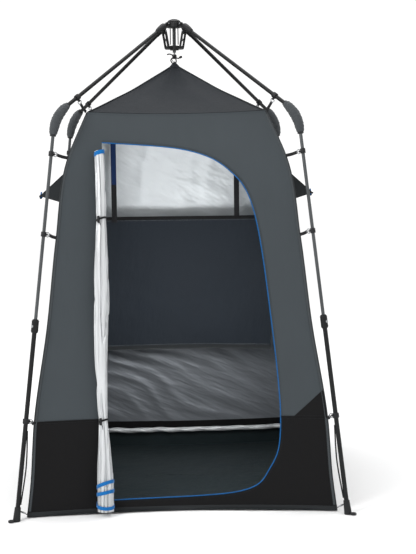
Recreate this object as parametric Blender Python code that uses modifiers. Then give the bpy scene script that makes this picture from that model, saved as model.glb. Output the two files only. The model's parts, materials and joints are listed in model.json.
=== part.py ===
"""Privacy shower tent on a quick-erect frame, built as separate pieces.

Metres, +Z up. The origin is on the ground under the middle of the tent, and the door faces -Y.
Each corner of the frame is drawn once in its own upright plane (x outwards along the diagonal,
y sideways, z up) and then turned to its place. The frame folds like an umbrella: the slider
rises, the roof poles swing up and the legs hang down beside them.
"""

import math

import bmesh
import bpy
import numpy as np
from mathutils import Matrix, Vector

# ---------------------------------------------------------------- driving dimensions
DIAGONAL = math.sqrt(2)
CORNER_AZIMUTH = {"fl": 225, "fr": 315, "rl": 135, "rr": 45}  # degrees, front left and so on
SIDES = {"front": 0, "right": 90, "rear": 180, "left": 270}  # turn of the front wall, degrees
HALF_OWNERS = {  # the leg that carries each half of a wall, seen from outside: left, then right
    "front": ("fl", "fr"),
    "right": ("fr", "rr"),
    "rear": ("rr", "rl"),
    "left": ("rl", "fl"),
}

GAP = 0.0003  # between pieces that touch
CROWN_PIVOT = Vector((0.045, 0, 2.265))
ELBOW = Vector((0.55 * DIAGONAL, 0, 1.81))  # where the centre lines of pole and leg meet
FOOT = Vector((0.748 * DIAGONAL, 0, 0))  # where the leg's centre line meets the ground
SLIDER_PIVOT = Vector((0.05, 0, 2.15))
POLE_DIR = (ELBOW - CROWN_PIVOT).normalized()
LEG_DIR = (FOOT - ELBOW).normalized()
POLE_BELOW = Vector((POLE_DIR.z, 0, -POLE_DIR.x))
STRUT_PIVOT = CROWN_PIVOT + 0.040 * POLE_DIR + 0.020 * POLE_BELOW

POLE_R = 0.0092
UPPER_LEG_R = 0.0078
LOWER_LEG_R = 0.0105
LOWER_LEG_BORE_R = 0.0083
POST_R = 0.0085
PIN_R = 0.0030
PIN_HOLE_R = 0.0033
ELBOW_OFFSET = 0.0095  # elbow pivot, from both centre lines, on the inner side of the bend
ELBOW_INSET = 0.025  # from the bend to the ends of the two tubes
UPPER_LEG_END_Z = 0.75
COLLAR_TOP_Z = 0.90
COLLAR_LENGTH = 0.062
COLLAR_R = 0.0165
LOWER_LEG_END_Z = 0.022
BUTTON_R = 0.006
BUTTON_Z = 0.868

CLOTH = 0.002  # thickness of a cloth solid
SEAM = 0.003  # from a wall's edge to the corner that it is sewn to
HALF_SPLIT = 0.0006  # from a middle plane to the cloth on each side of it
HEM_Z = 0.004
CORNER_LINE = [  # height, half width of the tent at its corners
    (0.0, 0.705), (0.15, 0.687), (0.43, 0.667), (0.86, 0.603),
    (1.25, 0.558), (1.61, 0.503), (1.825, 0.415),
]
MIDDLE_LINE = [  # height, half width of the tent at the middle of a wall
    (0.0, 0.640), (0.43, 0.606), (0.86, 0.557), (1.25, 0.513), (1.61, 0.462), (1.825, 0.400),
]
WALL_TOP_Z = 1.825
EAVE_SAG = 0.012
PEAK_Z = 2.070
ROOF_SAG = 0.010
DOOR_LEFT_X = -0.345
DOOR_OUTLINE = [  # x, z and whether the outline turns sharply there, clockwise
    (DOOR_LEFT_X, 1.685, True), (0.04, 1.647, False), (0.24, 1.55, False), (0.347, 1.36, False),
    (0.417, 0.87, False), (0.452, 0.41, False), (0.406, 0.203, False), (0.247, 0.087, False),
    (DOOR_LEFT_X, 0.062, True),
]
PANEL_Y = 0.39
PANEL_HALF = 0.50
PANEL_LOW_Z, PANEL_HIGH_Z = 0.59, 1.30
STRAP_X = 0.324
HOOD_HALF = 0.15
HOOD_TOP_Z, HOOD_TIP_Z, HOOD_LOW_Z = 1.61, 1.44, 1.385
HOOD_TIP_OUT = 0.663
REAR_ROLL_R = 0.0135
REAR_ROLL_Z = 0.10
ROUND = 12  # sides of a small round piece


# ---------------------------------------------------------------- scene, looks, small helpers
for old in list(bpy.data.objects):
    bpy.data.objects.remove(old, do_unlink=True)


def new_collection(name):
    collection = bpy.data.collections.new(name)
    bpy.context.scene.collection.children.link(collection)
    return collection


TENT = new_collection("shower_tent")
TOOLS = new_collection("cutters")


def new_material(name, colour, roughness, metallic=0.0):
    material = bpy.data.materials.new(name)
    material.use_nodes = True
    shader = material.node_tree.nodes["Principled BSDF"]
    shader.inputs["Base Color"].default_value = (*colour, 1)
    shader.inputs["Roughness"].default_value = roughness
    shader.inputs["Metallic"].default_value = metallic
    return material


BLACK_PLASTIC = new_material("black_plastic", (0.018, 0.019, 0.021), 0.55)
BLACK_TUBE = new_material("black_tube", (0.016, 0.017, 0.018), 0.42, 0.2)
GREY_TUBE = new_material("grey_tube", (0.055, 0.060, 0.063), 0.40, 0.3)
SLATE_CLOTH = new_material("slate_cloth", (0.072, 0.084, 0.094), 0.85)
ROOF_CLOTH = new_material("roof_cloth", (0.044, 0.048, 0.053), 0.85)
BLACK_CLOTH = new_material("black_cloth", (0.014, 0.014, 0.015), 0.85)
NAVY_CLOTH = new_material("navy_cloth", (0.016, 0.021, 0.028), 0.80)
SILVER_CLOTH = new_material("silver_cloth", (0.55, 0.58, 0.60), 0.38, 0.4)
GREY_PADDING = new_material("grey_padding", (0.060, 0.068, 0.070), 0.90)


def new_object(name, mesh, collection=TOOLS):
    obj = bpy.data.objects.new(name, mesh)
    collection.objects.link(obj)
    if collection is TOOLS:
        obj.hide_render = True
        obj.display_type = "WIRE"
    return obj


def evaluated_mesh(obj):
    """The mesh of an object as the viewport shows it, in the object's own space, welded."""
    bpy.context.view_layer.update()
    mesh = bpy.data.meshes.new_from_object(obj.evaluated_get(bpy.context.evaluated_depsgraph_get()))
    bm = bmesh.new()
    bm.from_mesh(mesh)
    bmesh.ops.remove_doubles(bm, verts=bm.verts, dist=1e-6)
    bm.to_mesh(mesh)
    bm.free()
    return mesh


def settle(obj):
    """Turn a curve or a modified object into a plain mesh object in the same place."""
    mesh = evaluated_mesh(obj)
    mesh.transform(obj.matrix_world)
    bpy.data.objects.remove(obj, do_unlink=True)
    return new_object("solid", mesh)


def combine(base, joined=(), cut=()):
    """The mesh of a base solid with others joined to it and others cut from it."""
    for operation, tools in (("UNION", joined), ("DIFFERENCE", cut)):
        for tool in tools:
            modifier = base.modifiers.new(operation.lower(), "BOOLEAN")
            modifier.operation = operation
            modifier.solver = "EXACT"
            modifier.object = tool
    mesh = evaluated_mesh(base)
    for obj in (base, *joined, *cut):
        bpy.data.objects.remove(obj, do_unlink=True)
    return mesh


def place(name, mesh, material, origin=(0, 0, 0), turn=0.0, built_at=(0, 0, 0)):
    """Put a mesh in the tent, with its origin at a point and turned about the upright axis."""
    if mesh.users == 0:
        mesh.transform(Matrix.Translation(-Vector(built_at)))
        mesh.materials.clear()
        mesh.materials.append(material)
        mesh.shade_smooth()
        mesh.set_sharp_from_angle(angle=math.radians(35))
    obj = new_object(name, mesh, TENT)
    obj.location = Matrix.Rotation(math.radians(turn), 3, "Z") @ Vector(origin)
    obj.rotation_euler.z = math.radians(turn)
    return obj


def place_at_corners(name, mesh, material, origin=(0, 0, 0)):
    """Put one copy at each corner; the mesh is drawn in the corner's upright plane."""
    for corner, azimuth in CORNER_AZIMUTH.items():
        place(f"{name}_{corner}", mesh, material, origin, azimuth, built_at=origin)


# ---------------------------------------------------------------- basic solids
def rod(start, end, radius, end_radius=None, segments=ROUND):
    """A solid round rod, or a cone, between two points."""
    start, end = Vector(start), Vector(end)
    turn = (end - start).to_track_quat("Z", "Y").to_matrix().to_4x4()
    bm = bmesh.new()
    bmesh.ops.create_cone(
        bm, cap_ends=True, segments=segments, radius1=radius, radius2=end_radius or radius,
        depth=(end - start).length, matrix=Matrix.Translation((start + end) / 2) @ turn,
    )
    mesh = bpy.data.meshes.new("rod")
    bm.to_mesh(mesh)
    bm.free()
    return new_object("rod", mesh)


def pin(centre, half_length, radius=PIN_R):
    """A round pin that lies sideways through a point of the corner's plane."""
    side = Vector((0, half_length, 0))
    return rod(centre - side, centre + side, radius)


def box(low, high):
    bm = bmesh.new()
    low, high = Vector(low), Vector(high)
    bmesh.ops.create_cube(bm, size=1)
    bmesh.ops.scale(bm, vec=high - low, verts=bm.verts)
    bmesh.ops.translate(bm, vec=(low + high) / 2, verts=bm.verts)
    mesh = bpy.data.meshes.new("box")
    bm.to_mesh(mesh)
    bm.free()
    return new_object("box", mesh)


def arc(centre, radius, start, end, steps=5):
    """Points of an arc in two dimensions, with its angles in radians."""
    angles = np.linspace(start, end, steps)
    return [(centre[0] + radius * math.cos(a), centre[1] + radius * math.sin(a)) for a in angles]


def new_curve(points, cyclic=False, kind="POLY"):
    """A curve object through points, for a plate or a tube."""
    curve = bpy.data.curves.new("outline", "CURVE")
    spline = curve.splines.new(kind)
    spline.use_cyclic_u = cyclic
    if kind == "POLY":
        spline.points.add(len(points) - 1)
        for knot, point in zip(spline.points, points):
            knot.co = (*point, *([0] * (3 - len(point))), 1)
    else:
        spline.bezier_points.add(len(points) - 1)
        for knot, point in zip(spline.bezier_points, points):
            knot.co = point
            knot.handle_left_type = knot.handle_right_type = "AUTO"
    return new_object("outline", curve)


def upright_plate(outline, low, high):
    """A flat plate in the x-z plane between two y values, from its outline."""
    obj = new_curve(outline, cyclic=True)
    obj.data.dimensions = "2D"
    obj.data.fill_mode = "BOTH"
    obj.data.extrude = (high - low) / 2
    obj.matrix_world = Matrix.Translation((0, (low + high) / 2, 0)) @ Matrix.Rotation(
        math.pi / 2, 4, "X"
    )
    return settle(obj)


def link(a, b, radius, low, high):
    """A flat bar with round ends from a to b in the corner's plane."""
    heading = math.atan2(b[2] - a[2], b[0] - a[0])
    quarter = math.pi / 2
    outline = arc((a[0], a[2]), radius, heading + quarter, heading + 3 * quarter)
    outline += arc((b[0], b[2]), radius, heading - quarter, heading + quarter)
    return upright_plate(outline, low, high)


def pair(a, b, radius, inner, outer):
    """Two links side by side, mirrored across the corner's plane."""
    return [link(a, b, radius, inner, outer), link(a, b, radius, -outer, -inner)]


def tube(points, radius, sides=12, cyclic=False, radii=None):
    """A round cord, roll or sleeve along smooth points, with filled ends."""
    obj = new_curve(points, cyclic)
    obj.data.dimensions = "3D"
    obj.data.bevel_depth = radius
    obj.data.bevel_resolution = sides // 4 - 1
    obj.data.use_fill_caps = not cyclic
    if radii:
        for knot, factor in zip(obj.data.splines[0].points, radii):
            knot.radius = factor
    return settle(obj)


def turned(profile, base, direction, segments=ROUND):
    """A ring or tube from a closed profile of (radius, height), turned about an axis."""
    mesh = bpy.data.meshes.new("profile")
    ends = [(i, (i + 1) % len(profile)) for i in range(len(profile))]
    mesh.from_pydata([(r, 0, z) for r, z in profile], ends, [])
    obj = new_object("turned", mesh)
    screw = obj.modifiers.new("turn", "SCREW")
    screw.steps = screw.render_steps = segments
    screw.use_merge_vertices = True
    screw.merge_threshold = 1e-6
    turn = Vector(direction).to_track_quat("Z", "Y").to_matrix().to_4x4()
    obj.matrix_world = Matrix.Translation(base) @ turn
    return settle(obj)


def sheet(point, columns, rows):
    """A cloth solid on an open grid whose points are given by point(u, v), u and v in 0..1."""
    bm = bmesh.new()
    bmesh.ops.create_grid(bm, x_segments=columns, y_segments=rows, size=0.5)
    for vertex in bm.verts:
        vertex.co = point(vertex.co.x + 0.5, vertex.co.y + 0.5)
    mesh = bpy.data.meshes.new("cloth")
    bm.to_mesh(mesh)
    bm.free()
    obj = new_object("cloth", mesh)
    solidify = obj.modifiers.new("cloth", "SOLIDIFY")
    solidify.thickness = CLOTH
    solidify.offset = 0
    return settle(obj)


def smooth(knots, at):
    """A smooth curve through (position, value) knots, read at one position."""
    places, values = np.array(knots).T
    slopes = np.gradient(values, places)
    i = int(np.clip(np.searchsorted(places, at) - 1, 0, len(places) - 2))
    step = places[i + 1] - places[i]
    t = (at - places[i]) / step
    ahead = t * t * (3 - 2 * t)
    lean = step * (t * (1 - t) ** 2 * slopes[i] - t * t * (1 - t) * slopes[i + 1])
    return float(values[i] + ahead * (values[i + 1] - values[i]) + lean)


def leg_point(z):
    """The point of the leg's centre line at a height."""
    return ELBOW + LEG_DIR * ((ELBOW.z - z) / -LEG_DIR.z)


# ---------------------------------------------------------------- hub at the top
def crown_hub():
    disc = turned([(0.010, 2.276), (0.030, 2.276), (0.036, 2.270), (0.036, 2.250), (0.032, 2.246),
                   (0.010, 2.246)], (0, 0, 0), (0, 0, 1), 16)
    joined = [rod((0, 0, 2.247), (0, 0, 2.275), 0.012)]
    for azimuth in CORNER_AZIMUTH.values():
        root = Vector((0.028, 0, CROWN_PIVOT.z))
        for piece in (*pair(root, CROWN_PIVOT, 0.008, 0.0055, 0.0085), pin(CROWN_PIVOT, 0.0088)):
            piece.matrix_world = Matrix.Rotation(math.radians(azimuth), 4, "Z")
            joined.append(piece)
    place("crown_hub", combine(disc, joined), BLACK_PLASTIC)


def crown_cap():
    profile = [(0.0, 2.290), (0.012, 2.289), (0.026, 2.284), (0.034, 2.276 + GAP), (0.0, 2.276 + GAP)]
    place("crown_cap", combine(turned(profile, (0, 0, 0), (0, 0, 1), 16)), BLACK_PLASTIC)


def centre_post():
    """The fixed post that the slider rides on, with an eye at its lower end."""
    eye = Vector((0, 0, 2.121))
    post = rod((0, 0, 2.126), (0, 0, 2.246 - GAP), POST_R)
    plate = link(eye + Vector((0, 0, 0.012)), eye, 0.0075, -0.0025, 0.0025)
    hole = pin(eye, 0.01, 0.0035)
    for piece in (plate, hole):
        piece.matrix_world = Matrix.Rotation(math.pi / 2, 4, "Z")
    place("centre_post", combine(post, [plate], [hole]), GREY_TUBE)


def peak_cord():
    """The loop of cord that holds the roof's peak up to the eye of the post."""
    right = [(0.0, 2.121), (0.0065, 2.118), (0.0040, 2.108), (0.0085, 2.096), (0.0065, 2.083)]
    left = [(0.0, 2.0775), (-0.0065, 2.083), (-0.0125, 2.098), (-0.0040, 2.108), (-0.0065, 2.118)]
    route = new_curve([(x, 0, z) for x, z in right + left], cyclic=True, kind="BEZIER")
    route.data.dimensions = "3D"
    route.data.resolution_u = 3
    route.data.bevel_depth = 0.0015
    route.data.bevel_resolution = 1
    place("peak_cord", combine(settle(route)), BLACK_CLOTH)


def peak_loop():
    """The small loop sewn into the peak of the roof."""
    ring = [(0, y, z) for y, z in arc((0, 2.076), 0.008, 0, 2 * math.pi, 13)[:-1]]
    place("peak_loop", combine(tube(ring, 0.0015, 8, cyclic=True)), BLACK_CLOTH)


def lower_hub():
    """The slider: a ring on the post with four lugs for the struts."""
    low, high = SLIDER_PIVOT.z - 0.012, SLIDER_PIVOT.z + 0.010
    ring = turned([(POST_R + 0.0007, high), (0.022, high), (0.022, low), (POST_R + 0.0007, low)],
                  (0, 0, 0), (0, 0, 1), 16)
    joined = []
    for azimuth in CORNER_AZIMUTH.values():
        root = Vector((0.019, 0, SLIDER_PIVOT.z))
        for piece in (link(root, SLIDER_PIVOT, 0.0065, -0.008, 0.008), pin(SLIDER_PIVOT, 0.0091)):
            piece.matrix_world = Matrix.Rotation(math.radians(azimuth), 4, "Z")
            joined.append(piece)
    place("lower_hub", combine(ring, joined), BLACK_PLASTIC)


# ---------------------------------------------------------------- one corner of the frame
def elbow_pivot():
    bend = (-POLE_DIR).angle(LEG_DIR) / 2
    return ELBOW + (LEG_DIR - POLE_DIR).normalized() * ELBOW_OFFSET / math.sin(bend)


def roof_poles():
    """Pole with its crown fitting, the lug for the strut and the fork of the elbow."""
    start = CROWN_PIVOT + 0.024 * POLE_DIR
    end = ELBOW - ELBOW_INSET * POLE_DIR
    pole = rod(start, end, POLE_R)
    joined = [
        rod(CROWN_PIVOT + 0.0265 * POLE_DIR, CROWN_PIVOT + 0.090 * POLE_DIR, 0.0125, 0.0105),
        link(CROWN_PIVOT, CROWN_PIVOT + 0.032 * POLE_DIR, 0.008, -0.005, 0.005),
        link(CROWN_PIVOT + 0.045 * POLE_DIR, STRUT_PIVOT, 0.0068, -0.0065, 0.0065),
        pin(STRUT_PIVOT, 0.0125),
        *pair(elbow_pivot(), ELBOW - 0.036 * POLE_DIR, 0.007, 0.0045, 0.008),
    ]
    holes = [pin(CROWN_PIVOT, 0.02, PIN_HOLE_R), pin(elbow_pivot(), 0.02, PIN_HOLE_R)]
    place_at_corners("roof_pole", combine(pole, joined, holes), BLACK_TUBE, CROWN_PIVOT)


def struts():
    """Fork of two plates with a bridge, from the pole's lug to the slider."""
    plates = pair(STRUT_PIVOT, SLIDER_PIVOT, 0.006, 0.0097, 0.0121)
    bridge = pin((STRUT_PIVOT + SLIDER_PIVOT) / 2, 0.0110)
    holes = [pin(STRUT_PIVOT, 0.02, PIN_HOLE_R), pin(SLIDER_PIVOT, 0.02, PIN_HOLE_R)]
    place_at_corners("strut", combine(bridge, plates, holes), BLACK_PLASTIC, STRUT_PIVOT)


def upper_legs():
    """Inner tube of the leg with the tongue and pin of the elbow."""
    leg = rod(ELBOW + ELBOW_INSET * LEG_DIR, leg_point(UPPER_LEG_END_Z), UPPER_LEG_R)
    tongue = link(elbow_pivot(), ELBOW + 0.036 * LEG_DIR, 0.007, -0.004, 0.004)
    mesh = combine(leg, [tongue, pin(elbow_pivot(), 0.0086)])
    place_at_corners("leg_upper", mesh, GREY_TUBE, elbow_pivot())


def elbow_sleeves():
    """Padded sleeve, bent round the elbow, open at both ends."""
    reach = 0.072
    ends = (ELBOW - reach * POLE_DIR, ELBOW + reach * LEG_DIR)

    def bend(t):
        return (1 - t) ** 2 * ends[0] + 2 * t * (1 - t) * ELBOW + t * t * ends[1]

    outer = tube([bend(t) for t in np.linspace(0, 1, 7)], 0.024, 12)
    inner = tube([bend(t) for t in np.linspace(-0.06, 1.06, 8)], 0.0185, 12)
    place_at_corners("elbow_sleeve", combine(outer, cut=[inner]), GREY_PADDING, elbow_pivot())


def lower_legs():
    """Outer tube of the leg, with the collar of the height lock and a pocket for its button."""
    length = (leg_point(COLLAR_TOP_Z) - leg_point(LOWER_LEG_END_Z)).length
    profile = [
        (LOWER_LEG_BORE_R, 0), (0.0125, 0), (COLLAR_R, -0.008), (COLLAR_R, 0.006 - COLLAR_LENGTH),
        (0.0130, -COLLAR_LENGTH), (LOWER_LEG_R, -COLLAR_LENGTH), (LOWER_LEG_R, -length),
        (LOWER_LEG_BORE_R, -length),
    ]
    tube_and_collar = turned(profile, leg_point(COLLAR_TOP_Z), -LEG_DIR)
    outwards = Vector((-LEG_DIR.z, 0, LEG_DIR.x))
    centre = leg_point(BUTTON_Z)
    pocket = rod(centre + 0.0094 * outwards, centre + 0.03 * outwards, BUTTON_R + 0.0004)
    mesh = combine(tube_and_collar, cut=[pocket])
    place_at_corners("leg_lower", mesh, BLACK_TUBE, leg_point(COLLAR_TOP_Z))
    button = rod(centre + 0.0124 * outwards, centre + 0.0190 * outwards, BUTTON_R)
    place_at_corners("lock_button", combine(button), BLACK_PLASTIC, centre)


def feet():
    """Cup on the end of the leg with a level sole and an outward loop for a peg."""
    cup_top, tube_end = leg_point(0.062), leg_point(LOWER_LEG_END_Z)
    cup = rod(leg_point(-0.02), cup_top, 0.019, 0.0140)
    socket = rod(tube_end + GAP * LEG_DIR, cup_top - 0.02 * LEG_DIR, LOWER_LEG_R + 0.0004)
    peg = FOOT + Vector((0.029, 0, 0))
    loop = rod(peg + Vector((0, 0, 0.003)), peg + Vector((0, 0, 0.010)), 0.0145)
    peg_hole = rod(peg - Vector((0, 0, 0.01)), peg + Vector((0, 0, 0.03)), 0.0085)
    below = box(FOOT - Vector((0.1, 0.1, 0.1)), FOOT + Vector((0.1, 0.1, 0)))
    mesh = combine(cup, [loop], [socket, peg_hole, below])
    place_at_corners("foot", mesh, BLACK_PLASTIC, FOOT)


# ---------------------------------------------------------------- cloth
def wall_point(across, z, out=0.0):
    """A point of the front wall: across is -1 at its left corner and 1 at its right corner."""
    corner, middle = smooth(CORNER_LINE, z), smooth(MIDDLE_LINE, z)
    return Vector(((corner - SEAM) * across, out - middle - (corner - middle) * across**2, z))


def wall_top(across):
    return WALL_TOP_Z - EAVE_SAG * (1 - across**2)


def half_wall(sign):
    """Half of a wall, from the middle plane to one corner, hem to eave."""

    def point(u, v):
        place_on_wall = wall_point(sign * u, HEM_Z + v * (wall_top(u) - HEM_Z))
        place_on_wall.x = sign * max(abs(place_on_wall.x), HALF_SPLIT)
        return place_on_wall

    return sheet(point if sign > 0 else lambda u, v: point(1 - u, v), 4, 8)


def door_cutter():
    """The doorway's outline, as a deep solid across the front wall."""
    obj = new_curve([(x, z, 0) for x, z, _ in DOOR_OUTLINE], cyclic=True, kind="BEZIER")
    for knot, (_, _, sharp) in zip(obj.data.splines[0].bezier_points, DOOR_OUTLINE):
        if sharp:
            knot.handle_left_type = knot.handle_right_type = "VECTOR"
    obj.data.resolution_u = 5
    obj.data.dimensions = "2D"
    obj.data.fill_mode = "BOTH"
    obj.data.extrude = 0.25
    obj.matrix_world = Matrix.Translation((0, -0.55, 0)) @ Matrix.Rotation(math.pi / 2, 4, "X")
    return settle(obj)


def walls():
    """Eight half walls. The two at the front have the doorway cut out of them."""
    for index, sign in enumerate((-1, 1)):
        plain = combine(half_wall(sign))
        for side, turn in SIDES.items():
            mesh = combine(half_wall(sign), cut=[door_cutter()]) if side == "front" else plain
            place(f"wall_{side}_{HALF_OWNERS[side][index]}", mesh, SLATE_CLOTH, turn=turn)


def roof():
    """Four quarters of the roof, each from the peak to one corner of the eave."""
    rise = 0.0035  # from a wall's top edge to the roof's lower edge

    def eave(b):
        across = 1 - abs(b)
        edge = wall_point(across, WALL_TOP_Z)
        x = max(edge.x + SEAM * across, HALF_SPLIT)
        z = wall_top(across) + rise
        return Vector((x, edge.y, z)) if b < 0 else Vector((-edge.y, -x, z))

    def point(u, v):
        b = 2 * u - 1
        a = 0.03 + 0.97 * v
        edge = eave(b)
        x = HALF_SPLIT + (edge.x - HALF_SPLIT) * a
        y = -HALF_SPLIT + (edge.y + HALF_SPLIT) * a
        sag = ROOF_SAG * 4 * a * (1 - a)
        return Vector((x, y, PEAK_Z + (edge.z - PEAK_Z) * a - sag))

    mesh = combine(sheet(point, 8, 4))
    for corner, azimuth in CORNER_AZIMUTH.items():
        place(f"roof_{corner}", mesh, ROOF_CLOTH, turn=azimuth - CORNER_AZIMUTH["fr"])


def floor():
    """Four quarters of the floor sheet, each hinged to the foot of its corner."""
    middle, corner = smooth(MIDDLE_LINE, 0) - 0.012, smooth(CORNER_LINE, 0) - 0.010
    outline = [(HALF_SPLIT, -HALF_SPLIT), (HALF_SPLIT, -middle), (corner, -corner),
               (middle, -HALF_SPLIT)]
    obj = new_curve(outline, cyclic=True)
    obj.data.dimensions = "2D"
    obj.data.fill_mode = "BOTH"
    obj.data.extrude = CLOTH / 2
    obj.location.z = 0.001 + CLOTH / 2
    mesh = combine(settle(obj))
    hinge = Vector((corner, -corner, 0))
    for name, azimuth in CORNER_AZIMUTH.items():
        place(f"floor_{name}", mesh, BLACK_CLOTH, hinge, azimuth - CORNER_AZIMUTH["fr"], hinge)


# ---------------------------------------------------------------- pieces inside and on the walls
def hanging_panel():
    """Dark panel in front of the rear wall, in two halves, each on a strap to the roof."""
    for corner, sign in (("rl", -1), ("rr", 1)):
        low = Vector((sign * HALF_SPLIT, PANEL_Y - CLOTH / 2, PANEL_LOW_Z))
        high = Vector((sign * PANEL_HALF, PANEL_Y + CLOTH / 2, PANEL_HIGH_Z))
        xs = sorted((low.x, high.x))
        panel = box((xs[0], low.y, low.z), (xs[1], high.y, high.z))
        place(f"hanging_panel_{corner}", combine(panel), NAVY_CLOTH)
        strap_low = (sign * STRAP_X - 0.019, PANEL_Y - CLOTH / 2, PANEL_HIGH_Z + GAP)
        strap_high = (sign * STRAP_X + 0.019, PANEL_Y + CLOTH / 2, WALL_TOP_Z - 0.004)
        place(f"panel_strap_{corner}", combine(box(strap_low, strap_high)), BLACK_CLOTH)


def door_roll():
    """The door cloth, unzipped and rolled up beside the doorway, thicker towards its foot."""
    heights = np.linspace(1.665, 0.024, 12)
    radii = [0.030 + 0.010 * (1 - z / 1.665) ** 2 for z in heights]
    clear = 0.011
    points = []
    for z, radius in zip(heights, radii):
        spot = wall_point(DOOR_LEFT_X / smooth(CORNER_LINE, z), z)
        points.append((DOOR_LEFT_X - 0.010, spot.y - radius - clear, z))
    thickest = max(radii)
    factors = [radius / thickest for radius in radii]
    place("door_roll", combine(tube(points, thickest, 12, radii=factors)), SILVER_CLOTH)


def vent_hoods():
    """Small awning over each side vent: one sloping panel and two cheeks, open below."""
    wall_high = -wall_point(0, HOOD_TOP_Z).y + 0.009
    wall_low = -wall_point(0, HOOD_LOW_Z).y + 0.010
    for name, sign in (("left", -1), ("right", 1)):
        bm = bmesh.new()
        bmesh.ops.create_cube(bm, size=1)
        top = [v for v in bm.verts if v.co.z > 0]
        inner_low = [v for v in bm.verts if v.co.z < 0 and v.co.x < 0]
        for vertex in bm.verts:
            side = math.copysign(HOOD_HALF, vertex.co.y)
            if vertex in top and vertex.co.x < 0:
                vertex.co = (wall_high, side, HOOD_TOP_Z)
            elif vertex in top:
                vertex.co = (HOOD_TIP_OUT - 0.006, side, HOOD_TIP_Z + 0.006)
            elif vertex in inner_low:
                vertex.co = (wall_low, side, HOOD_LOW_Z)
            else:
                vertex.co = (HOOD_TIP_OUT, side, HOOD_TIP_Z - 0.012)
        open_faces = [f for f in bm.faces if f.normal.z < -0.9 or f.normal.x < -0.9]
        bmesh.ops.delete(bm, geom=open_faces, context="FACES_ONLY")
        mesh = bpy.data.meshes.new("hood")
        bm.to_mesh(mesh)
        bm.free()
        hood = new_object("hood", mesh)
        solidify = hood.modifiers.new("cloth", "SOLIDIFY")
        solidify.thickness = CLOTH
        solidify.offset = 0
        turn = 0 if sign > 0 else 180
        place(f"vent_hood_{name}", combine(settle(hood)), SLATE_CLOTH, turn=turn)


def rear_roll():
    """The rolled cloth along the foot of the rear wall, in two halves."""
    for corner, sign in (("rl", -1), ("rr", 1)):
        points = []
        for across in np.linspace(0.02, 0.93, 8):
            spot = wall_point(across, REAR_ROLL_Z)
            points.append((sign * spot.x, -spot.y - REAR_ROLL_R - 0.008, REAR_ROLL_Z))
        place(f"rear_roll_{corner}", combine(tube(points, REAR_ROLL_R, 12)), SILVER_CLOTH)


for build_piece in (
    crown_hub, crown_cap, centre_post, peak_cord, peak_loop, lower_hub, roof_poles, struts,
    upper_legs, elbow_sleeves, lower_legs, feet, walls, roof, floor, hanging_panel, door_roll,
    vent_hoods, rear_roll,
):
    build_piece()
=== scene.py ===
# %% [markdown]
# # A privacy shower tent
# The folding frame comes ready made and stays as it is. This script dresses it: cloth walls,
# roof, rolled door, padded sleeves, webbing and clips, each with a procedural material. Every
# piece but the padded sleeves rides on the body of the frame that carries it, so the tent can be
# posed.

# %% Load the frame
import json
import math

import bmesh
import bpy
import numpy as np
from mathutils import Matrix, Vector, noise


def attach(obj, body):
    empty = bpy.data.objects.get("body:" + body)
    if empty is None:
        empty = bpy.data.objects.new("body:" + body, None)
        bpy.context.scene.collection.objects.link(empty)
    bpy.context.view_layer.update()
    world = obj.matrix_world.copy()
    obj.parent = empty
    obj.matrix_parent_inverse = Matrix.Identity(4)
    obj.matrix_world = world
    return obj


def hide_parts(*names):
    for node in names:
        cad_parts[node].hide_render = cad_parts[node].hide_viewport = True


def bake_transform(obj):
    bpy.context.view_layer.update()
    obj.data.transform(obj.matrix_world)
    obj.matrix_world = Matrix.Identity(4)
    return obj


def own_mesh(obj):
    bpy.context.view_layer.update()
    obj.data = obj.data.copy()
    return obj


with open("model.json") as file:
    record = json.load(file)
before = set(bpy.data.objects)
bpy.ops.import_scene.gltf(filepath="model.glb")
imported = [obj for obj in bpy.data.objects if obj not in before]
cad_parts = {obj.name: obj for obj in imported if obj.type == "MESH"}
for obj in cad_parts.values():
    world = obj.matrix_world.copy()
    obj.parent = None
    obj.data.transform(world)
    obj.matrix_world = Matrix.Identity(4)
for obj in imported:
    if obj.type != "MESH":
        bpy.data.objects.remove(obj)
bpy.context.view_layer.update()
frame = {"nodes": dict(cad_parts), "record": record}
JOINTS = {joint["name"]: joint for joint in frame["record"]["behaviour"]["joints"]}

# %% [markdown]
# ## The shape of the cloth
# A stretched tent narrows towards its top and its walls bow in between the corners. Two lines,
# one at the corners and one down the middle of a wall, say everything about that shape.

# %% Lines of the cloth, and who carries what
CORNER_LINE = [
    (0.0, 0.705), (0.15, 0.687), (0.43, 0.667), (0.86, 0.603),
    (1.25, 0.558), (1.61, 0.503), (1.825, 0.415),
]
MIDDLE_LINE = [
    (0.0, 0.640), (0.43, 0.606), (0.86, 0.557), (1.25, 0.513), (1.61, 0.462), (1.825, 0.400),
]
SEAM, HEM_Z = 0.003, 0.004
WALL_TOP_Z, EAVE_SAG, PEAK_Z, ROOF_SAG = 1.825, 0.012, 2.070, 0.010
MUD_WALL_Z = 0.43  # top of the black wall cloth at the foot of each wall
# Inside, the silver lining stops at PANEL_BACK_Z on the rear wall and at MUD_WALL_Z on the others;
# below that it is painted darker as shade down to BLACK_BAND_Z.
PANEL_BACK_Z, BLACK_BAND_Z, TUB_Z = 1.0, 0.145, 0.085  # the inside's finishes end at these
CLOTH = 0.0014
CORNERS = {"fl": (-1, -1), "fr": (1, -1), "rl": (-1, 1), "rr": (1, 1)}
SIDES = {"front": 0, "right": 90, "rear": 180, "left": 270}
HALF_OWNERS = {
    "front": ("fl", "fr"), "right": ("fr", "rr"), "rear": ("rr", "rl"), "left": ("rl", "fl"),
}
DOOR_LEFT_X = -0.345
DOOR_OUTLINE = [  # x, z and whether the outline turns sharply there
    (DOOR_LEFT_X, 1.685, True), (0.04, 1.647, False), (0.24, 1.55, False), (0.347, 1.36, False),
    (0.417, 0.87, False), (0.452, 0.41, False), (0.406, 0.203, False), (0.247, 0.087, False),
    (DOOR_LEFT_X, 0.062, True),
]


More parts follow.
